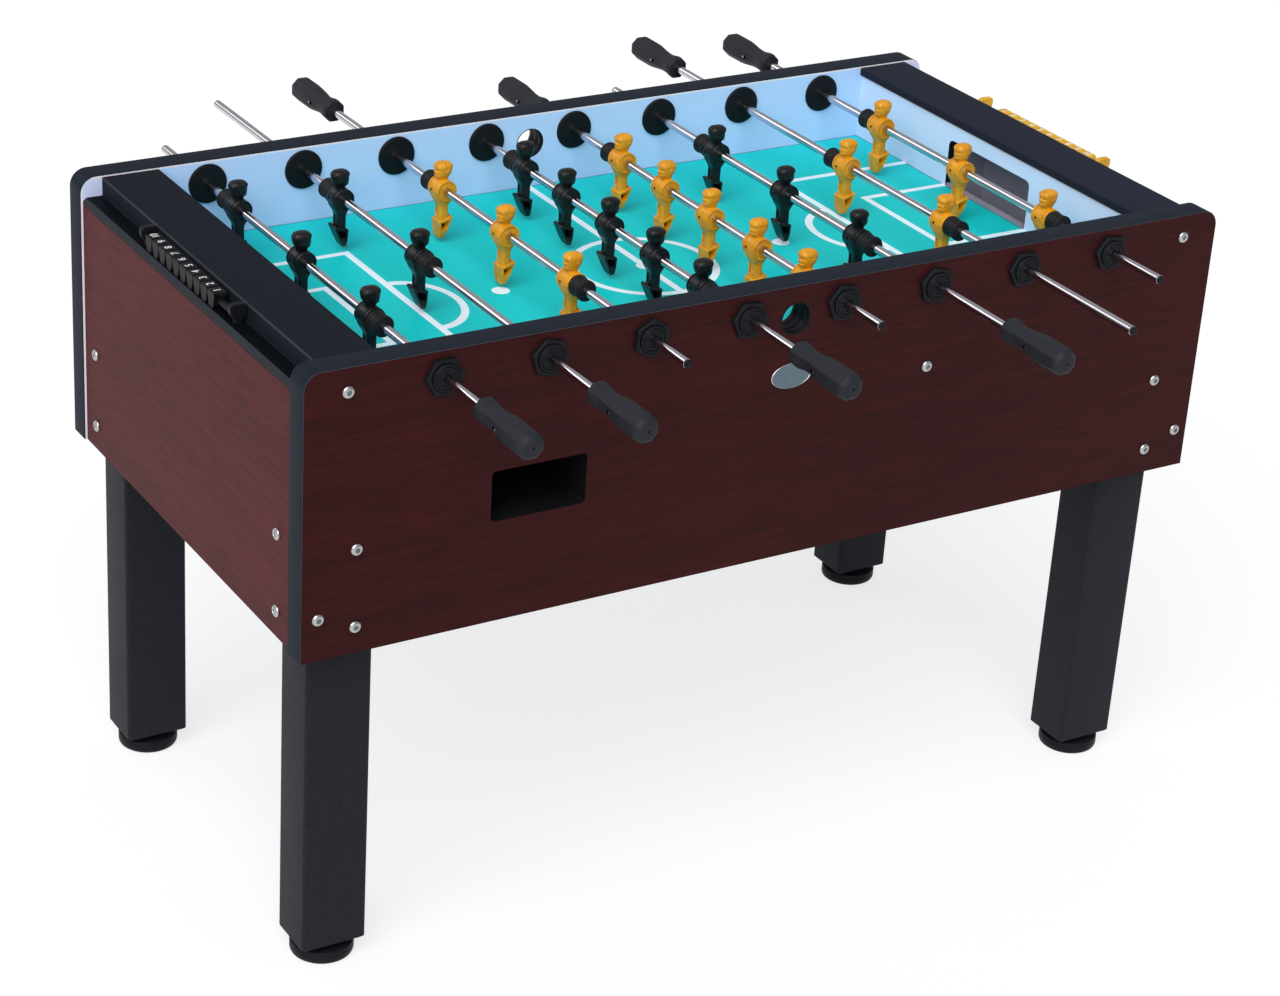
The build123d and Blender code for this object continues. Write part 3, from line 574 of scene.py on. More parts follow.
def shelf_finish():
    """Score shelves: black laminate with painted light and shade: a painted sheen makes the right one
    bluer, painted shade darkens the ledge, and painted highlights pale the ledge's bevel and a line along
    the step."""
    finish = Finish("shelf_laminate", Specular_IOR_Level=0.02)
    x, _, z = finish.axes()
    along = abs(x)
    grain = finish.noise(even(1500.0), detail=3.0)
    left = finish.mix(grain, (0.008, 0.010, 0.015), (0.014, 0.016, 0.022))
    # Painted sheen: the right shelf's black is bluer and lighter.
    right = finish.mix(grain, (0.014, 0.017, 0.028), (0.021, 0.024, 0.038))
    black = finish.mix(x.above(0.0), left, right)
    low = z.below(LEDGE_TOP + 2.0 * MM)
    # Painted shade: the ledge's top below the step is darker.
    ledge = low.both(along.above(SHELF_STEP_X + 1.0 * MM))
    black = finish.mix(ledge, black, (0.003, 0.004, 0.006))
    # Painted highlight: the ledge's outer bevel is paler.
    bevel = low.both(along.rise(END_OUTER_X - 6.0 * MM, END_OUTER_X - 4.5 * MM))
    black = finish.mix(bevel, black, (0.028, 0.031, 0.038))
    # Painted highlight: a paler line along the top edge of the step.
    painted_highlight = z.above(SIDE_TOP - 5.0 * MM).both(along.rise(SHELF_STEP_X - 1.6 * MM, SHELF_STEP_X - 0.6 * MM))
    finish.feed("Base Color", finish.mix(painted_highlight, black, (0.040, 0.043, 0.052)))
    finish.feed("Roughness", 0.42 + 0.13 * grain)
    finish.bump(grain, 0.06 * MM, 0.5)
    return finish.material


def leg_finish():
    """Legs: black with a coarse leathery texture of small cells."""
    finish = Finish("leg_laminate", Specular_IOR_Level=0.12)
    cells = finish.node("ShaderNodeTexVoronoi", inputs={"Vector": finish.place(), "Scale": 420.0})
    cloud = finish.noise(even(6.0))
    black = finish.mix(cells.rise(0.1, 0.7), (0.0075, 0.0085, 0.0125), (0.0160, 0.0172, 0.0240))
    finish.feed("Base Color", black)
    finish.feed("Roughness", 0.45 + 0.15 * cloud)
    finish.bump(cells, 0.25 * MM, 0.5)
    return finish.material


def player_finish(name, dark, light, gloss):
    """Moulded players: plastic with flow marks and a slightly dulled, uneven gloss."""
    finish = Finish(name, Specular_IOR_Level=gloss)
    flow = finish.noise(even(55.0), detail=4.0, distortion=1.2)
    finish.feed("Base Color", finish.mix(flow.rise(0.35, 0.65), dark, light))
    finish.feed("Roughness", 0.28 + 0.16 * flow)
    finish.bump(finish.noise(even(700.0), detail=2.0), 0.05 * MM, 0.25)
    return finish.material


def metal_finish(name, dark, light, scale, rough):
    """Polished metal with faint streaks: the scale gives the streaks' direction."""
    finish = Finish(name, Metallic=1.0)
    streaks = finish.noise(scale, detail=3.0)
    finish.feed("Base Color", finish.mix(streaks, dark, light))
    finish.feed("Roughness", rough[0] + (rough[1] - rough[0]) * streaks)
    return finish.material


def bare_wood_finish():
    """Sawn beams: pale wood with growth lines along Y."""
    finish = Finish("sawn_wood", Specular_IOR_Level=0.2)
    lines = finish.noise((120.0, 3.0, 120.0), detail=4.0, distortion=0.4)
    finish.feed("Base Color", finish.mix(lines.rise(0.3, 0.7), (0.46, 0.29, 0.15), (0.60, 0.42, 0.24)))
    finish.feed("Roughness", 0.60 + 0.2 * lines)
    finish.bump(lines, 0.2 * MM, 0.4)
    return finish.material


side_panel = panel_finish()
end_panel = end_panel_finish()
field = field_finish()
goal_wall = goal_wall_finish()
edge_black = edge_finish()
legs = leg_finish()
beams = bare_wood_finish()
shelf_black = shelf_finish()
black_plastic = grained_finish(
    "black_moulding", (0.004, 0.005, 0.007), (0.009, 0.010, 0.013),
    scale=1600.0, rough=(0.38, 0.52), depth=0.06 * MM, gloss=0.12,
)
tray_plastic = grained_finish(
    "ball_tray_plastic", (0.003, 0.003, 0.004), (0.007, 0.007, 0.008),
    scale=700.0, rough=(0.50, 0.65), depth=0.1 * MM, gloss=0.1,
)
ramp_plastic = grained_finish(
    "goal_ramp_plastic", (0.29, 0.28, 0.36), (0.36, 0.35, 0.43),
    scale=700.0, rough=(0.45, 0.60), depth=0.1 * MM, gloss=0.2,
)
rubber = grained_finish(
    "bumper_rubber", (0.005, 0.005, 0.006), (0.011, 0.011, 0.012),
    scale=1800.0, rough=(0.45, 0.60), depth=0.08 * MM, gloss=0.2,
)
grip_rubber = grained_finish(
    "grip_rubber", (0.010, 0.0115, 0.016), (0.020, 0.022, 0.030),
    scale=1400.0, rough=(0.50, 0.66), depth=0.12 * MM, gloss=0.2,
)
yellow_plastic = player_finish("yellow_players", (0.58, 0.235, 0.004), (0.72, 0.31, 0.008), gloss=0.4)
black_gloss = player_finish("black_players", (0.003, 0.003, 0.004), (0.007, 0.007, 0.008), gloss=0.3)
yellow_beads = player_finish("yellow_beads", (0.58, 0.315, 0.014), (0.71, 0.400, 0.024), gloss=0.3)
black_beads = player_finish("black_beads", (0.004, 0.004, 0.005), (0.009, 0.009, 0.010), gloss=0.08)
# Near-black finish that paints the shade inside holes and pockets.
painted_hole_shade = grained_finish(
    "hole_shadow", (0.002, 0.002, 0.002), (0.004, 0.004, 0.004),
    scale=900.0, rough=(0.7, 0.9), depth=0.02 * MM, gloss=0.0,
)
chrome = metal_finish(
    "rod_chrome", (0.56, 0.53, 0.565), (0.64, 0.605, 0.645), scale=(900.0, 6.0, 900.0), rough=(0.10, 0.20),
)
nickel = metal_finish(
    "bolt_nickel", (0.42, 0.42, 0.41), (0.54, 0.54, 0.52), scale=even(500.0), rough=(0.24, 0.40),
)
plate_metal = metal_finish(
    "badge_metal", (0.10, 0.145, 0.18), (0.16, 0.21, 0.25), scale=even(260.0), rough=(0.30, 0.45),
)
white_ink = grained_finish(
    "white_numerals", (0.78, 0.79, 0.80), (0.86, 0.86, 0.86),
    scale=800.0, rough=(0.45, 0.6), depth=0.01 * MM, gloss=0.5,
)


def dress(finish, *nodes):
    """Gives CAD nodes whose shape stays a finish."""
    for node in nodes:
        solid = frame["nodes"][node]
        solid.data.materials.clear()
        solid.data.materials.append(finish)


dress(side_panel, "front_side_panel", "back_side_panel")
dress(end_panel, "left_end_panel", "right_end_panel")
dress(field, "playfield")
dress(goal_wall, "left_goal_wall", "right_goal_wall")
dress(beams, "field_beams")
dress(ramp_plastic, "goal_ramps")
dress(tray_plastic, "return_troughs")


# Cabinet trim

def edge_moulding(side):
    """The black moulding on the edge of a side panel. Its section is flat with round shoulders and
    is carried along the panel's edge: up, round a quarter circle, along the top, round and down."""
    low, high = (np.array(corner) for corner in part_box("front_side_panel"))
    radius = EDGE_CORNER_RADIUS
    bend = np.linspace(0, np.pi / 2, 12)
    left_out = np.stack([-np.cos(bend), np.sin(bend)], axis=1)
    left = np.array([low[0] + radius, high[2] - radius]) + radius * left_out
    mirror = np.array([-1.0, 1.0])
    path = np.concatenate([[(low[0], low[2])], left, left[::-1] * mirror, [(high[0], low[2])]])
    out = np.concatenate([[(-1.0, 0.0)], left_out, left_out[::-1] * mirror, [(1.0, 0.0)]])
    near = EDGE_INSET
    far = SIDE_OUTER_Y - SIDE_INNER_Y - EDGE_INSET
    corners = [(near, -EDGE_DEPTH), (near, EDGE_PROUD), (far, EDGE_PROUD), (far, -EDGE_DEPTH)]
    section = softened(corners, EDGE_ROUNDING)
    across = SIDE_INNER_Y + section[:, 0]
    raised = path[:, None, :] + out[:, None, :] * section[None, :, 1:2]
    return woven(raised[..., 0], side * across, raised[..., 1])


for name, side in (("front", -1), ("back", 1)):
    make_piece(f"{name}_edge_moulding", [edge_moulding(side)], [edge_black], "cabinet")


def score_shelf(end):
    """The stepped shelf: one outline with soft corners, carried across the table."""
    foot_start, foot_end = SHELF_FOOT_X
    outline = [
        (SHELF_INNER_X, SHELF_UNDERSIDE),
        (SHELF_INNER_X, SHELF_TOP),
        (SHELF_STEP_X, SHELF_TOP),
        (SHELF_STEP_X, LEDGE_TOP),
        (END_OUTER_X - LEDGE_BEVEL, LEDGE_TOP),
        (END_OUTER_X, LEDGE_TOP - LEDGE_BEVEL),
        (END_OUTER_X, LEDGE_UNDERSIDE),
        (foot_end, LEDGE_UNDERSIDE),
        (foot_end, SHELF_FOOT_UNDERSIDE),
        (foot_start, SHELF_FOOT_UNDERSIDE),
        (foot_start, SHELF_UNDERSIDE),
    ]
    along, up = softened(outline, SHELF_ROUNDING).T
    across = np.array([[-SIDE_INNER_Y], [SIDE_INNER_Y]])
    return woven(end * along, across, up)


for name, end in (("left", -1), ("right", 1)):
    stand_in(f"{name}_score_shelf", [score_shelf(end)], shelf_black)


def serve_sleeve(side):
    """The sleeve in a serve hole: a closed ring profile with three ribs inside, turned about Y."""
    depth = SIDE_OUTER_Y - SIDE_INNER_Y
    along = np.linspace(0.0, depth, 25)
    inner = 21.0 * MM + 0.6 * MM * np.cos(along / depth * 6 * np.pi)
    lip = [(0.6, 21.8), (0.6, 23.6), (-1.0, 23.0)]
    outside = np.array([(depth + rise * MM, radius * MM) for rise, radius in lip] + [(0.0, 23.0 * MM)])
    profile = np.concatenate([np.stack([along, inner], axis=1), outside])
    return turned(profile, 48, ring=True).at((0, side * SIDE_INNER_Y, SERVE_HEIGHT), facing((0, side, 0)))


stand_in("serve_rings", [serve_sleeve(-1), serve_sleeve(1)], black_plastic)


def badge_plate():
    """A bare oval plate and its raised rim: two turned profiles squeezed to an ellipse."""
    face = turned(MM * np.array([(0.0, 0.0), (0.0, 30.4), (1.0, 30.4), (1.2, 15.0), (1.3, 0.0)]), 72)
    rim_profile = [(0.0, 30.2), (0.0, 32.0), (1.0, 32.0), (1.6, 31.4), (1.6, 30.7), (1.0, 30.2)]
    rim = turned(MM * np.array(rim_profile), 72, ring=True, finish=1)
    for shape in (face, rim):
        shape.points = shape.points * np.array([1.0, BADGE_SQUEEZE, 1.0])
    return [shape.at((0.0, -SIDE_OUTER_Y, BADGE_HEIGHT), facing((0, -1, 0))) for shape in (face, rim)]


make_piece("front_badge_plate", badge_plate(), [plate_metal, nickel], "cabinet")


# Bolts and feet

def bolt_head():
    """A domed head with a round shoulder and a hexagonal socket, and a darker disc of painted shade on the
    socket's floor: rings of height, radius and the share of the six-sided form."""
    dome = np.linspace(0.0, 1.0, 7)[:, None]
    rise = np.hstack([1.2 + 3.2 * np.sin(dome * np.pi / 2), 8.5 - 4.9 * dome**1.6, 0 * dome])
    foot = [(-3.0, 0.0, 0.0), (-3.0, 4.0, 0.0), (0.0, 4.0, 0.0), (0.0, 8.3, 0.0)]
    socket = [(4.4, 3.4, 1.0), (4.0, 3.2, 1.0), (1.8, 3.2, 1.0), (1.4, 0.0, 1.0)]
    head = turned(np.vstack([foot, rise, socket]) * [MM, MM, 1.0], 48)
    # Painted shade: a darker metal disc on the socket's floor.
    floor = np.array([(1.0, 0.0, 1.0), (1.0, 3.3, 1.0), (3.4, 3.3, 1.0), (3.4, 0.0, 1.0)])
    return [head, turned(floor * [MM, MM, 1.0], 48, finish=1)]


def all_bolts():
    """One head at each bolt of the side panels and the end panels, with the sockets turned unevenly."""
    panel_bolts = (CORNER_BOLT, SHELF_BOLT, BEAM_BOLT)
    places = [(end * LEG_BOLT_X, height) for end in (-1, 1) for height in LEG_BOLT_HEIGHTS]
    places += [(end * x, height) for end in (-1, 1) for x, height in panel_bolts]
    settings = []
    for number, (x, z) in enumerate(places):
        for side in (-1, 1):
            settings.append(((x, side * SIDE_OUTER_Y, z), turn_about((0, side, 0), 0.7 * number)))
    for end in (-1, 1):
        for number, height in enumerate(LEG_BOLT_HEIGHTS):
            for y in (-LEG_BOLT_Y, LEG_BOLT_Y):
                turn = turn_about((end, 0, 0), 0.9 * number + y)
                settings.append(((end * END_OUTER_X, y, height), turn))
    return [shape.at(place, turn) for place, turn in settings for shape in bolt_head()]


stand_in("cabinet_bolts", all_bolts(), nickel, plate_metal)


def leg_post(low, high):
    """A leg: a rectangle with round corners, drawn in a little at both ends."""
    half = (high - low) / 2
    middle = (high + low) / 2
    corners = np.array([(-1, -1), (1, -1), (1, 1), (-1, 1)])
    soft = LEG_END_ROUNDING
    rings = []
    for height, inset in ((low[2], soft), (low[2] + soft, 0.0), (high[2] - soft, 0.0), (high[2], soft)):
        outline = softened(corners * (half[:2] - inset), LEG_CORNER_RADIUS) + middle[:2]
        rings.append(np.insert(outline, 2, height, axis=1))
    return lofted(rings)


FOOT_PROFILE = MM * np.array([
    (0.0, 0.0), (0.0, 38.0), (0.6, 40.5), (2.2, 42.6), (4.5, 43.7), (6.0, 44.0), (12.0, 44.0), (12.6, 43.3),
    (13.2, 43.3), (13.8, 44.0), (17.0, 44.0), (18.6, 43.3), (19.6, 41.6), (20.0, 39.5), (20.0, 27.0),
    (20.6, 26.0), (28.0, 26.0), (28.0, 6.0), (83.0, 6.0), (83.0, 0.0),
])

for side_name in ("front", "back"):
    for end_name in ("left", "right"):
        corner_name = f"{side_name}_{end_name}"
        low, high = (np.array(corner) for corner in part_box(f"{corner_name}_leg"))
        stand_in(f"{corner_name}_leg", [leg_post(low, high)], legs)
        foot = turned(FOOT_PROFILE, 64).at(((low[0] + high[0]) / 2, (low[1] + high[1]) / 2, 0.0))
        stand_in(f"{corner_name}_leveller", [foot], black_plastic)


# Rods

def rod_x(number):
    """The place of a rod along the table."""
    low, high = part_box(f"rod_{number}_tube")
    return (low[0] + high[0]) / 2


def rod_tube(x, start, end):
    """A straight tube with softened ends. A ring close to each end keeps the long side evenly shaded."""
    tip = MM * np.array([(0.0, 5.65), (0.3, 6.15), (0.9, 6.35), (1.6, 6.35)])
    far_tip = tip[::-1] * [-1, 1] + [end, 0.0]
    profile = np.concatenate([[(start, 0.0)], tip + [start, 0.0], far_tip, [(end, 0.0)]])
    return turned(profile, 48).at((x, 0, ROD_HEIGHT), facing((0, 1, 0)))


def bumper(x, middle):
    """A rubber ring with round edges, a collar at each end and two shallow grooves."""
    half = MM * np.array([
        (13.0, 0.0), (13.0, 12.6), (12.4, 14.2), (11.2, 15.0), (8.6, 15.0), (7.8, 14.3), (6.8, 14.1),
        (2.4, 14.1), (1.8, 13.6), (0.9, 13.6), (0.3, 14.1),
    ])
    profile = np.concatenate([half, half[::-1] * [-1, 1]])
    return turned(profile, 40).at((x, middle, ROD_HEIGHT), facing((0, 1, 0)))


def grip_width(along):
    """Width over the flats of a grip: a short collar with a soft edge, the neck, the body and the
    rounded end."""
    collar = 33 * MM
    neck = 5 * MM * smooth_step(along, 9 * MM, 28 * MM)
    body = 8 * MM * smooth_step(along, 32 * MM, 76 * MM)
    edge = 4 * MM * (1 - smooth_step(along, 0.0, 3 * MM))
    end = np.clip((along - GRIP_LENGTH) / (15 * MM) + 1, 0, 1)
    return (collar - neck + body - edge) * (0.34 + 0.66 * np.sqrt(1 - end**2.6))


def grip_shape():
    """A grip along Z from its collar: an octagon with crisp corners whose width follows grip_width,
    and a small hole sunk in its end."""
    body = MM * np.array([0, 0.8, 2, 4, 9, 13, 17, 21, 25, 28, 32, 38, 44, 50, 56, 62, 68, 76, 95])
    end = GRIP_LENGTH - MM * np.array([15, 11, 8, 6, 4.4, 3, 2, 1.2, 0.6, 0.2, 0])
    along = np.concatenate([body, end])
    width = grip_width(along)
    along = np.append(along, GRIP_LENGTH - MM * np.array([0, 4]))
    width = np.append(width, MM * np.array([3.4, 3.0]))
    angle = np.arange(8) * np.pi / 4 + np.pi / 8
    octagon = np.stack([np.cos(angle), np.sin(angle)], axis=1) / (2 * np.cos(np.pi / 8))
    x, y = softened(octagon, 0.024, steps=2).T
    return woven(width[:, None] * x, width[:, None] * y, along[:, None])


def rod_cap():
    """A black button with a round edge and a plug in the tube, along Z from the rod's end."""
    plug = [(-6.0, 0.0), (-6.0, 4.5), (0.0, 4.5)]
    button = [(0.0, 5.9), (1.2, 5.9), (2.1, 5.2), (2.5, 3.9), (2.5, 0.0)]
    return turned(MM * np.array(plug + button), 40, finish=3)


def grip_pieces(x, rod_end, cap_end, side):
    """A grip on one end of a rod, with its pin, and a cap on the other end."""
    start = np.array([x, rod_end - side * GRIP_LENGTH, ROD_HEIGHT])
    pin_along = 57 * MM
    pin = turned(MM * np.array([(-1.0, 0.0), (-1.0, 1.7), (0.5, 1.7), (0.8, 0.0)]), 16, finish=1)
    # The dent beside the pin is a near-black disc of painted shade.
    dent = turned(MM * np.array([(-1.0, 0.0), (-1.0, 2.6), (0.2, 2.6), (0.2, 0.0)]), 20, finish=2)
    pin_place = start + (-grip_width(pin_along) / 2, side * pin_along, -1.0 * MM)
    return [
        grip_shape().at(start, facing((0, side, 0))),
        pin.at(pin_place, facing((-1, 0, 0))),
        dent.at(pin_place - (0, side * 3.5 * MM, 0), facing((-1, 0, 0))),
        rod_cap().at((x, cap_end + side * CAP_LENGTH, ROD_HEIGHT), facing((0, -side, 0))),
    ]


# Players: the rod runs along Y through the origin and the player faces +X

def man_torso():
    """A barrel on the rod: a turned profile with a groove and a rim at each end, and a face sunk in
    the rim."""
    half = MM * np.array([
        (13.5, 0.0), (13.5, 13.0), (14.5, 13.4), (15.0, 14.0), (15.0, 15.2), (14.4, 15.9), (12.8, 16.0),
        (12.4, 15.6), (12.1, 14.2), (11.2, 14.2), (10.8, 15.4), (9.6, 15.9), (4.0, 15.8),
    ])
    profile = np.concatenate([half, half[::-1] * [-1, 1]])
    return turned(profile, 48).at((0, 0, 0), facing((0, 1, 0)))


def man_leg():
    """Hips and leg: level rings of a squarish oval whose half sizes shrink smoothly from the torso to
    the leg. A slot runs down the front and the back of the leg, off its middle."""
    hips = np.concatenate([np.linspace(-6, -20, 6), np.linspace(-22, -28, 5)])
    height = MM * np.concatenate([hips, np.linspace(-29, -46, 12)])[:, None]
    angle = np.linspace(0, 2 * np.pi, 120, endpoint=False)[None, :]
    slim = smooth_step(-height, 8 * MM, 27 * MM)
    x = (14.5 - 7.6 * slim) * MM * np.sign(np.cos(angle)) * np.abs(np.cos(angle)) ** 0.40
    y = (14.0 - 4.6 * slim) * MM * np.sign(np.sin(angle)) * np.abs(np.sin(angle)) ** 0.40
    deep = smooth_step(-height, 25 * MM, 27 * MM) * (1 - smooth_step(-height, 40 * MM, 42 * MM))
    slot = np.exp(-(((y + 4.6 * MM * np.sign(x)) / (1.7 * MM)) ** 4))
    x = x * (1 - 0.62 * deep * slot)
    return woven(x, y, height)


def man_boot():
    """The boot: level sections that narrow to the toe, a wedge from the side and a shield from the front.
    One parameter goes round the section, the other from the slanted top down. A square pocket is
    pushed into each side. Measures are in millimetres up to the last line."""
    side = np.array([-0.93, -0.72, -0.49, -0.46, -0.2, 0.05, 0.31, 0.34, 0.6, 0.80, 0.93])
    front = np.array([0.93, 0.75, 0.5, 0.2, -0.2, -0.5, -0.75, -0.93])
    depth = np.concatenate([side, np.ones(8), side[::-1], -np.ones(8)])
    width = np.concatenate([np.ones(11), front, -np.ones(11), -front])
    top_rows = [0.0, 0.02, 0.05, 0.1, 0.15, 0.18, 0.26, 0.34, 0.42, 0.45]
    low_rows = [0.50, 0.53, 0.6, 0.68, 0.76, 0.84, 0.9, 0.95, 0.985, 1.0]
    down = np.array(top_rows + low_rows)[:, None]
    top = -43.0 - 3.0 * depth[None, :]
    sole = -74.0
    height = top + down * (sole - top)
    heel = -12.5 + 14.0 * np.clip((-43.0 - height) / 31.0, 0, 1)
    toe = 9.5 - 2.6 * np.clip((-46.0 - height) / 28.0, 0, 1)
    half_width = 12.0 * (1 - 0.34 * np.clip((-58.0 - height) / 16.0, 0, 1) ** 2.0)
    tuck = 1 - 0.10 * (1 - smooth_step(down, 0.0, 0.05)) - 0.30 * smooth_step(down, 0.95, 1.0)
    x = (heel + toe) / 2 + tuck * depth[None, :] * (toe - heel) / 2
    window = (np.abs(depth + 0.075) < 0.42) & (np.abs(width) > 0.99)
    pocket = window[None, :] & (down > 0.16) & (down < 0.51)
    y = tuck * width[None, :] * (half_width - 9.0 * pocket)
    return woven(MM * x, MM * y, MM * height)


# Head, in millimetres: height, and how far it reaches to the front, to the back and to each side
HEAD_ROWS = np.array([
    (12.0, 7.0, 7.0, 6.0), (16.5, 7.4, 7.6, 6.8), (18.2, 9.2, 8.4, 7.4), (19.8, 11.8, 9.2, 8.0),
    (21.4, 12.5, 10.2, 8.6), (22.8, 11.4, 11.2, 9.1), (24.2, 12.4, 12.0, 9.5), (27.0, 12.2, 13.0, 10.0),
    (30.0, 11.5, 13.6, 10.4), (31.6, 13.0, 13.8, 10.5), (33.0, 12.5, 13.8, 10.5), (33.8, 13.6, 13.9, 10.8),
    (36.0, 13.2, 13.3, 10.3), (38.0, 11.9, 12.1, 9.3), (39.6, 9.9, 10.1, 7.8), (40.7, 7.3, 7.5, 5.8),
    (41.3, 4.2, 4.3, 3.3), (41.5, 0.0, 0.0, 0.0),
])


def man_head():
    """Neck and head: squarish level rings through HEAD_ROWS. Bell curves add the nose and ears and sink
    the eyes, and shallow waves run over the hair. Measures are in millimetres up to the last line."""
    neck_rows = np.linspace(12, 19, 6)
    face_rows = np.linspace(19.5, 34, 44)
    hair_rows = np.linspace(34.5, 41.5, 20)
    height = np.concatenate([neck_rows, face_rows, hair_rows])[:, None]
    angle = np.linspace(-np.pi, np.pi, 72, endpoint=False)[None, :]
    level = HEAD_ROWS[:, 0]
    front, back, aside = (np.interp(height, level, HEAD_ROWS[:, column]) for column in (1, 2, 3))
    nose = hump(angle, 0.0, 0.22) * hump(height, 27.2, 1.9) * 1.9
    ears = hump(np.abs(angle), 1.75, 0.15) * hump(height, 28.2, 2.3) * 1.3
    eyes = hump(np.abs(angle), 0.5, 0.26) * hump(height, 30.0, 1.0) * 1.6
    hair = smooth_step(height, 33, 34) * (1 - smooth_step(height, 40, 41))
    waves = hair * (0.28 * np.sin(14 * angle) + 0.20 * np.sin(9 * angle + 1.3 * height))
    relief = nose + ears - eyes + waves
    cosine = np.sign(np.cos(angle)) * np.abs(np.cos(angle)) ** 0.78
    sine = np.sign(np.sin(angle)) * np.abs(np.sin(angle)) ** 0.78
    x = np.where(cosine > 0, front, back) * cosine + relief * np.cos(angle)
    y = aside * sine + relief * np.sin(angle)
    return woven(MM * x, MM * y, MM * height)


def man_holes():
    """Painted shade in dark mouths: near-black discs in the pin hole in the front and the back of the
    torso, and a near-black block in the windows of the boot.
    """
    hole = turned(MM * np.array([(-1.0, 0.0), (-1.0, 2.0), (0.12, 2.0), (0.12, 0.0)]), 18, finish=1)
    window = rounded_block(MM * np.array([6.2, 7.4, 8.8]), 0.8 * MM, finish=1)
    holes = [hole.at((side * 15.85 * MM, -4.0 * side * MM, 0), facing((side, 0, 0))) for side in (-1, 1)]
    return holes + [window.at((-0.1 * MM, 0, -53.0 * MM))]


MAN = [man_torso(), man_leg(), man_boot(), man_head()] + man_holes()
HALF_TURN = np.diag([-1.0, -1.0, 1.0])

for number, men in enumerate(MEN_ON_ROD, start=1):
    x = rod_x(number)
    tube_low, tube_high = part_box(f"rod_{number}_tube")
    stand_in(f"rod_{number}_tube", [rod_tube(x, tube_low[1], tube_high[1])], chrome)
    low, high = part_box(f"rod_{number}_bumpers")
    middles = (low[1] + BUMPER_LENGTH / 2, high[1] - BUMPER_LENGTH / 2)
    stand_in(f"rod_{number}_bumpers", [bumper(x, middle) for middle in middles], rubber)
    low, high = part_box(f"rod_{number}_grip")
    front_grip = number in FRONT_GRIP_RODS
    ends = (low[1], high[1], -1) if front_grip else (high[1], low[1], 1)
    grip_finishes = (grip_rubber, nickel, painted_hole_shade, black_plastic)
    stand_in(f"rod_{number}_grip", grip_pieces(x, *ends), *grip_finishes, sharp=GRIP_SHARP_ANGLE)
    low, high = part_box(f"rod_{number}_players")
    turn = np.eye(3) if front_grip else HALF_TURN
    team = black_gloss if front_grip else yellow_plastic
    players = []
    for y in np.linspace(low[1] + MAN_WIDTH / 2, high[1] - MAN_WIDTH / 2, men):
        players += [shape.at((x, y, ROD_HEIGHT), turn) for shape in MAN]
    stand_in(f"rod_{number}_players", players, team, painted_hole_shade)


# Rod bearings

def bushing(x, side):
    """The sleeve of a rod: a thin flange inside the panel with two faint steps, and a barrel through it."""
    profile = MM * np.array([
        (-4.0, 6.4), (-4.0, 9.0), (-3.4, 9.6), (-3.4, 12.5), (-3.9, 13.1), (-3.9, 27.0), (-3.5, 28.3),
        (-2.5, 29.1), (-1.2, 29.25), (0.0, 29.25), (0.0, 15.0), (49.4, 15.0), (50.0, 14.4), (50.0, 11.4),
        (49.4, 10.8), (45.0, 10.2), (45.0, 6.4),
    ])
    return turned(profile, 64, ring=True).at((x, side * SIDE_INNER_Y, ROD_HEIGHT), facing((0, side, 0)))


def bushing_nut(x, side, turn):
    """A six-sided nut with a bevelled face and a round raised middle."""
    profile = MM * np.array([
        (0.0, 15.1), (0.0, 24.0), (5.8, 24.0), (6.8, 23.2), (7.0, 22.2), (7.0, 20.4), (5.4, 20.0),
        (5.4, 19.0), (9.2, 18.8), (10.0, 18.0), (10.0, 16.0), (8.6, 15.1),
    ])
    share = np.array([0, 1, 1, 1, 1, 0, 0, 0, 0, 0, 0, 0], float)
    nut = turned(np.column_stack([profile, share]), 96)
    return nut.at((x, side * SIDE_OUTER_Y, ROD_HEIGHT), turn_about((0, side, 0), turn))


rod_places = [rod_x(number) for number in range(1, len(MEN_ON_ROD) + 1)]
stand_in("rod_bushings", [bushing(x, side) for x in rod_places for side in (-1, 1)], black_plastic)
nuts = []
for x, degrees in zip(rod_places, NUT_TURNS):
    turn = math.radians(FLAT_ON_TOP + degrees)
    nuts.append(bushing_nut(x, -1, turn))
    nuts.append(bushing_nut(-x, 1, turn))
stand_in("bushing_nuts", nuts, black_plastic)


# Scorers and their numbers

def numeral(text, place, turn):
    """A flat numeral as a thin raised mesh, laid with its foot towards the middle of the table."""
    curve = bpy.data.curves.new("numeral", "FONT")
    curve.body = text
    curve.size = NUMERAL_SIZE
    curve.extrude = NUMERAL_THICKNESS
    curve.align_x = "CENTER"
    curve.align_y = "CENTER"
    curve.space_character = 0.9
    holder = bpy.data.objects.new("numeral", curve)
    bpy.context.scene.collection.objects.link(holder)
    mesh = bpy.data.meshes.new_from_object(holder.evaluated_get(bpy.context.evaluated_depsgraph_get()))
    points = np.empty(len(mesh.vertices) * 3)
    mesh.vertices.foreach_get("co", points)
    faces = [list(polygon.vertices) for polygon in mesh.polygons]
    bpy.data.objects.remove(holder)
    bpy.data.curves.remove(curve)
    bpy.data.meshes.remove(mesh)
    return Shape(points.reshape(-1, 3), faces).at(place, turn)


def soft_slab(outline, half, edge):
    """A slab along X from -half to half whose outline in Y and Z is drawn in by edge at both ends."""
    middle = (outline.max(axis=0) + outline.min(axis=0)) / 2
    size = outline.max(axis=0) - outline.min(axis=0)
    rings = []
    for along, inset in ((-half, edge), (edge - half, 0.0), (half - edge, 0.0), (half, edge)):
        drawn_in = middle + (outline - middle) * (1 - 2 * inset / size)
        rings.append(np.insert(drawn_in, 0, along, axis=1))
    return lofted(rings)


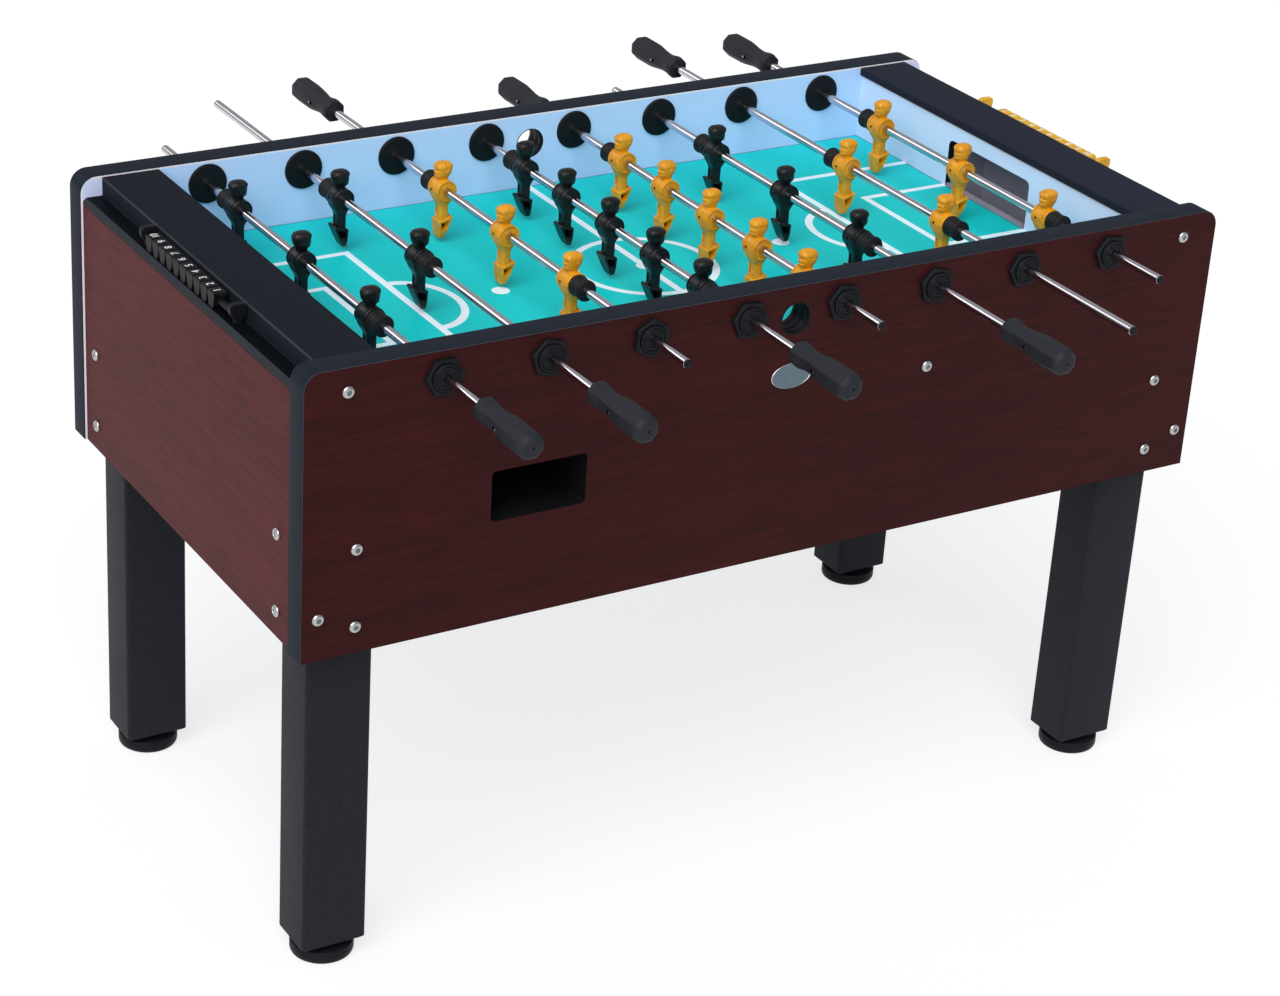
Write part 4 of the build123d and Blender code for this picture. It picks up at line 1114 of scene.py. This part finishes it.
def scorer_frame(end, top):
    """The rail of a scorer with its two brackets: slabs with a wide flat head on a narrow stem."""
    rail = rounded_block((8 * MM, 2 * BRACKET_Y, 6 * MM), 1.0 * MM).at((end * BEAD_X, 0, RAIL_HEIGHT))
    tall = top - LEDGE_TOP
    wide = BRACKET_HALF_WIDTH
    right = [(5 * MM, 0.0), (5 * MM, 0.25 * tall), (wide, 0.55 * tall), (wide, tall)]
    corners = np.array(right + [(-across, up) for across, up in right[::-1]])
    bracket = soft_slab(softened(corners, 6.0 * MM, steps=7), 4.5 * MM, 0.9 * MM)
    quarter = np.array([[0.0, -1.0, 0.0], [1.0, 0.0, 0.0], [0.0, 0.0, 1.0]])
    places = [(end * BEAD_X, side * BRACKET_Y, LEDGE_TOP) for side in (-1, 1)]
    return [rail] + [bracket.at(place, quarter) for place in places]


def scorer_bead(low, high):
    """A bead with a flat wide top that narrows to a round foot."""
    right = [(0.29, 0.0), (0.37, 0.28), (0.495, 0.75), (0.495, 1.0)]
    corners = np.array(right + [(-across, up) for across, up in right[::-1]]) * [BEAD_LENGTH, high - low]
    return soft_slab(softened(corners, 2.4 * MM, steps=4), BEAD_DEPTH / 2, 0.9 * MM).at((0, 0, low))


for name, end, bead_finish in (("left", -1, black_beads), ("right", 1, yellow_beads)):
    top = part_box(f"{name}_scorer_frame")[1][2]
    stand_in(f"{name}_scorer_frame", scorer_frame(end, top), black_plastic if end < 0 else yellow_beads)
    beads = f"{name}_scorer_beads"
    low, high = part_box(beads)
    middles = np.linspace(low[1] + BEAD_LENGTH / 2, high[1] - BEAD_LENGTH / 2, BEAD_COUNT)
    bead = scorer_bead(low[2], high[2])
    stand_in(beads, [bead.at((end * BEAD_X, y, 0)) for y in middles], bead_finish)
    towards_end = np.array([[0.0, end, 0.0], [-end, 0.0, 0.0], [0.0, 0.0, 1.0]])
    count = range(1, BEAD_COUNT + 1) if end < 0 else range(BEAD_COUNT, 0, -1)
    numerals = [
        numeral(str(number), (end * BEAD_X, y, high[2]), towards_end) for number, y in zip(count, middles)
    ]
    make_piece(f"{name}_scorer_numerals", numerals, [white_ink], beads)


# Stage, light and camera

def stage_floor():
    """A wide pale floor that is white where it is seen in full light and keeps a soft shadow. Rays that
    are seen, straight or in a reflection, find a floor that glows; rays that carry light do not."""
    reach = 30.0
    corners = [(-reach, -reach, 0), (reach, -reach, 0), (reach, reach, 0), (-reach, reach, 0)]
    mesh = bpy.data.meshes.new("floor")
    mesh.from_pydata(corners, [], [(0, 1, 2, 3)])
    finish = Finish("pale_floor", Roughness=0.9, Specular_IOR_Level=0.0, Emission_Strength=1.0)
    seen = finish.node("ShaderNodeLightPath", output="Is Camera Ray")
    for ray in ("Is Glossy Ray", "Is Transmission Ray"):
        seen = seen.either(finish.node("ShaderNodeLightPath", output=ray))
    finish.feed("Base Color", finish.mix(seen, (0.60, 0.60, 0.60), (0.28, 0.28, 0.28)))
    finish.feed("Emission Color", finish.mix(seen, (0.0, 0.0, 0.0), (0.72, 0.72, 0.72)))
    mesh.materials.append(finish.material)
    floor = bpy.data.objects.new("floor", mesh)
    bpy.context.scene.collection.objects.link(floor)


def light_world():
    """A soft even sky."""
    world = bpy.data.worlds.new("studio")
    world.use_nodes = True
    sky = world.node_tree.nodes["Background"]
    sky.inputs["Color"].default_value = SKY_COLOUR
    sky.inputs["Strength"].default_value = SKY_STRENGTH
    bpy.context.scene.world = world


def add_lamp(name, direction, strength, softness):
    """A far lamp that shines along direction and looks as many degrees wide as softness says."""
    lamp = bpy.data.lights.new(name, "SUN")
    lamp.energy = strength
    lamp.angle = math.radians(softness)
    holder = bpy.data.objects.new(name, lamp)
    turn = facing(-np.array(direction) / np.linalg.norm(direction))
    holder.matrix_world = Matrix(turn.tolist()).to_4x4()
    bpy.context.scene.collection.objects.link(holder)


def place_camera():
    """The photo's camera: its place, its three axes, its focal length and the shift of its frame."""
    lens = bpy.data.cameras.new("photo_camera")
    lens.sensor_width = SENSOR_WIDTH
    lens.lens = FOCAL_PIXELS / PHOTO_WIDTH * SENSOR_WIDTH
    lens.shift_x, lens.shift_y = SHIFT
    lens.clip_end = 200.0
    camera = bpy.data.objects.new("photo_camera", lens)
    axes = np.stack([CAMERA_RIGHT, CAMERA_UP, CAMERA_BACK], axis=1)
    camera.matrix_world = Matrix.Translation(CAMERA_PLACE) @ Matrix(axes.tolist()).to_4x4()
    bpy.context.scene.collection.objects.link(camera)
    bpy.context.scene.camera = camera


stage_floor()
light_world()
add_lamp("key_from_front_left", direction=(0.80, 0.80, -1.1), strength=2.95, softness=60.0)
add_lamp("rim_from_back_left", direction=(0.42, -0.77, -0.475), strength=0.22, softness=20.0)
place_camera()
bpy.context.scene.view_settings.view_transform = "Standard"
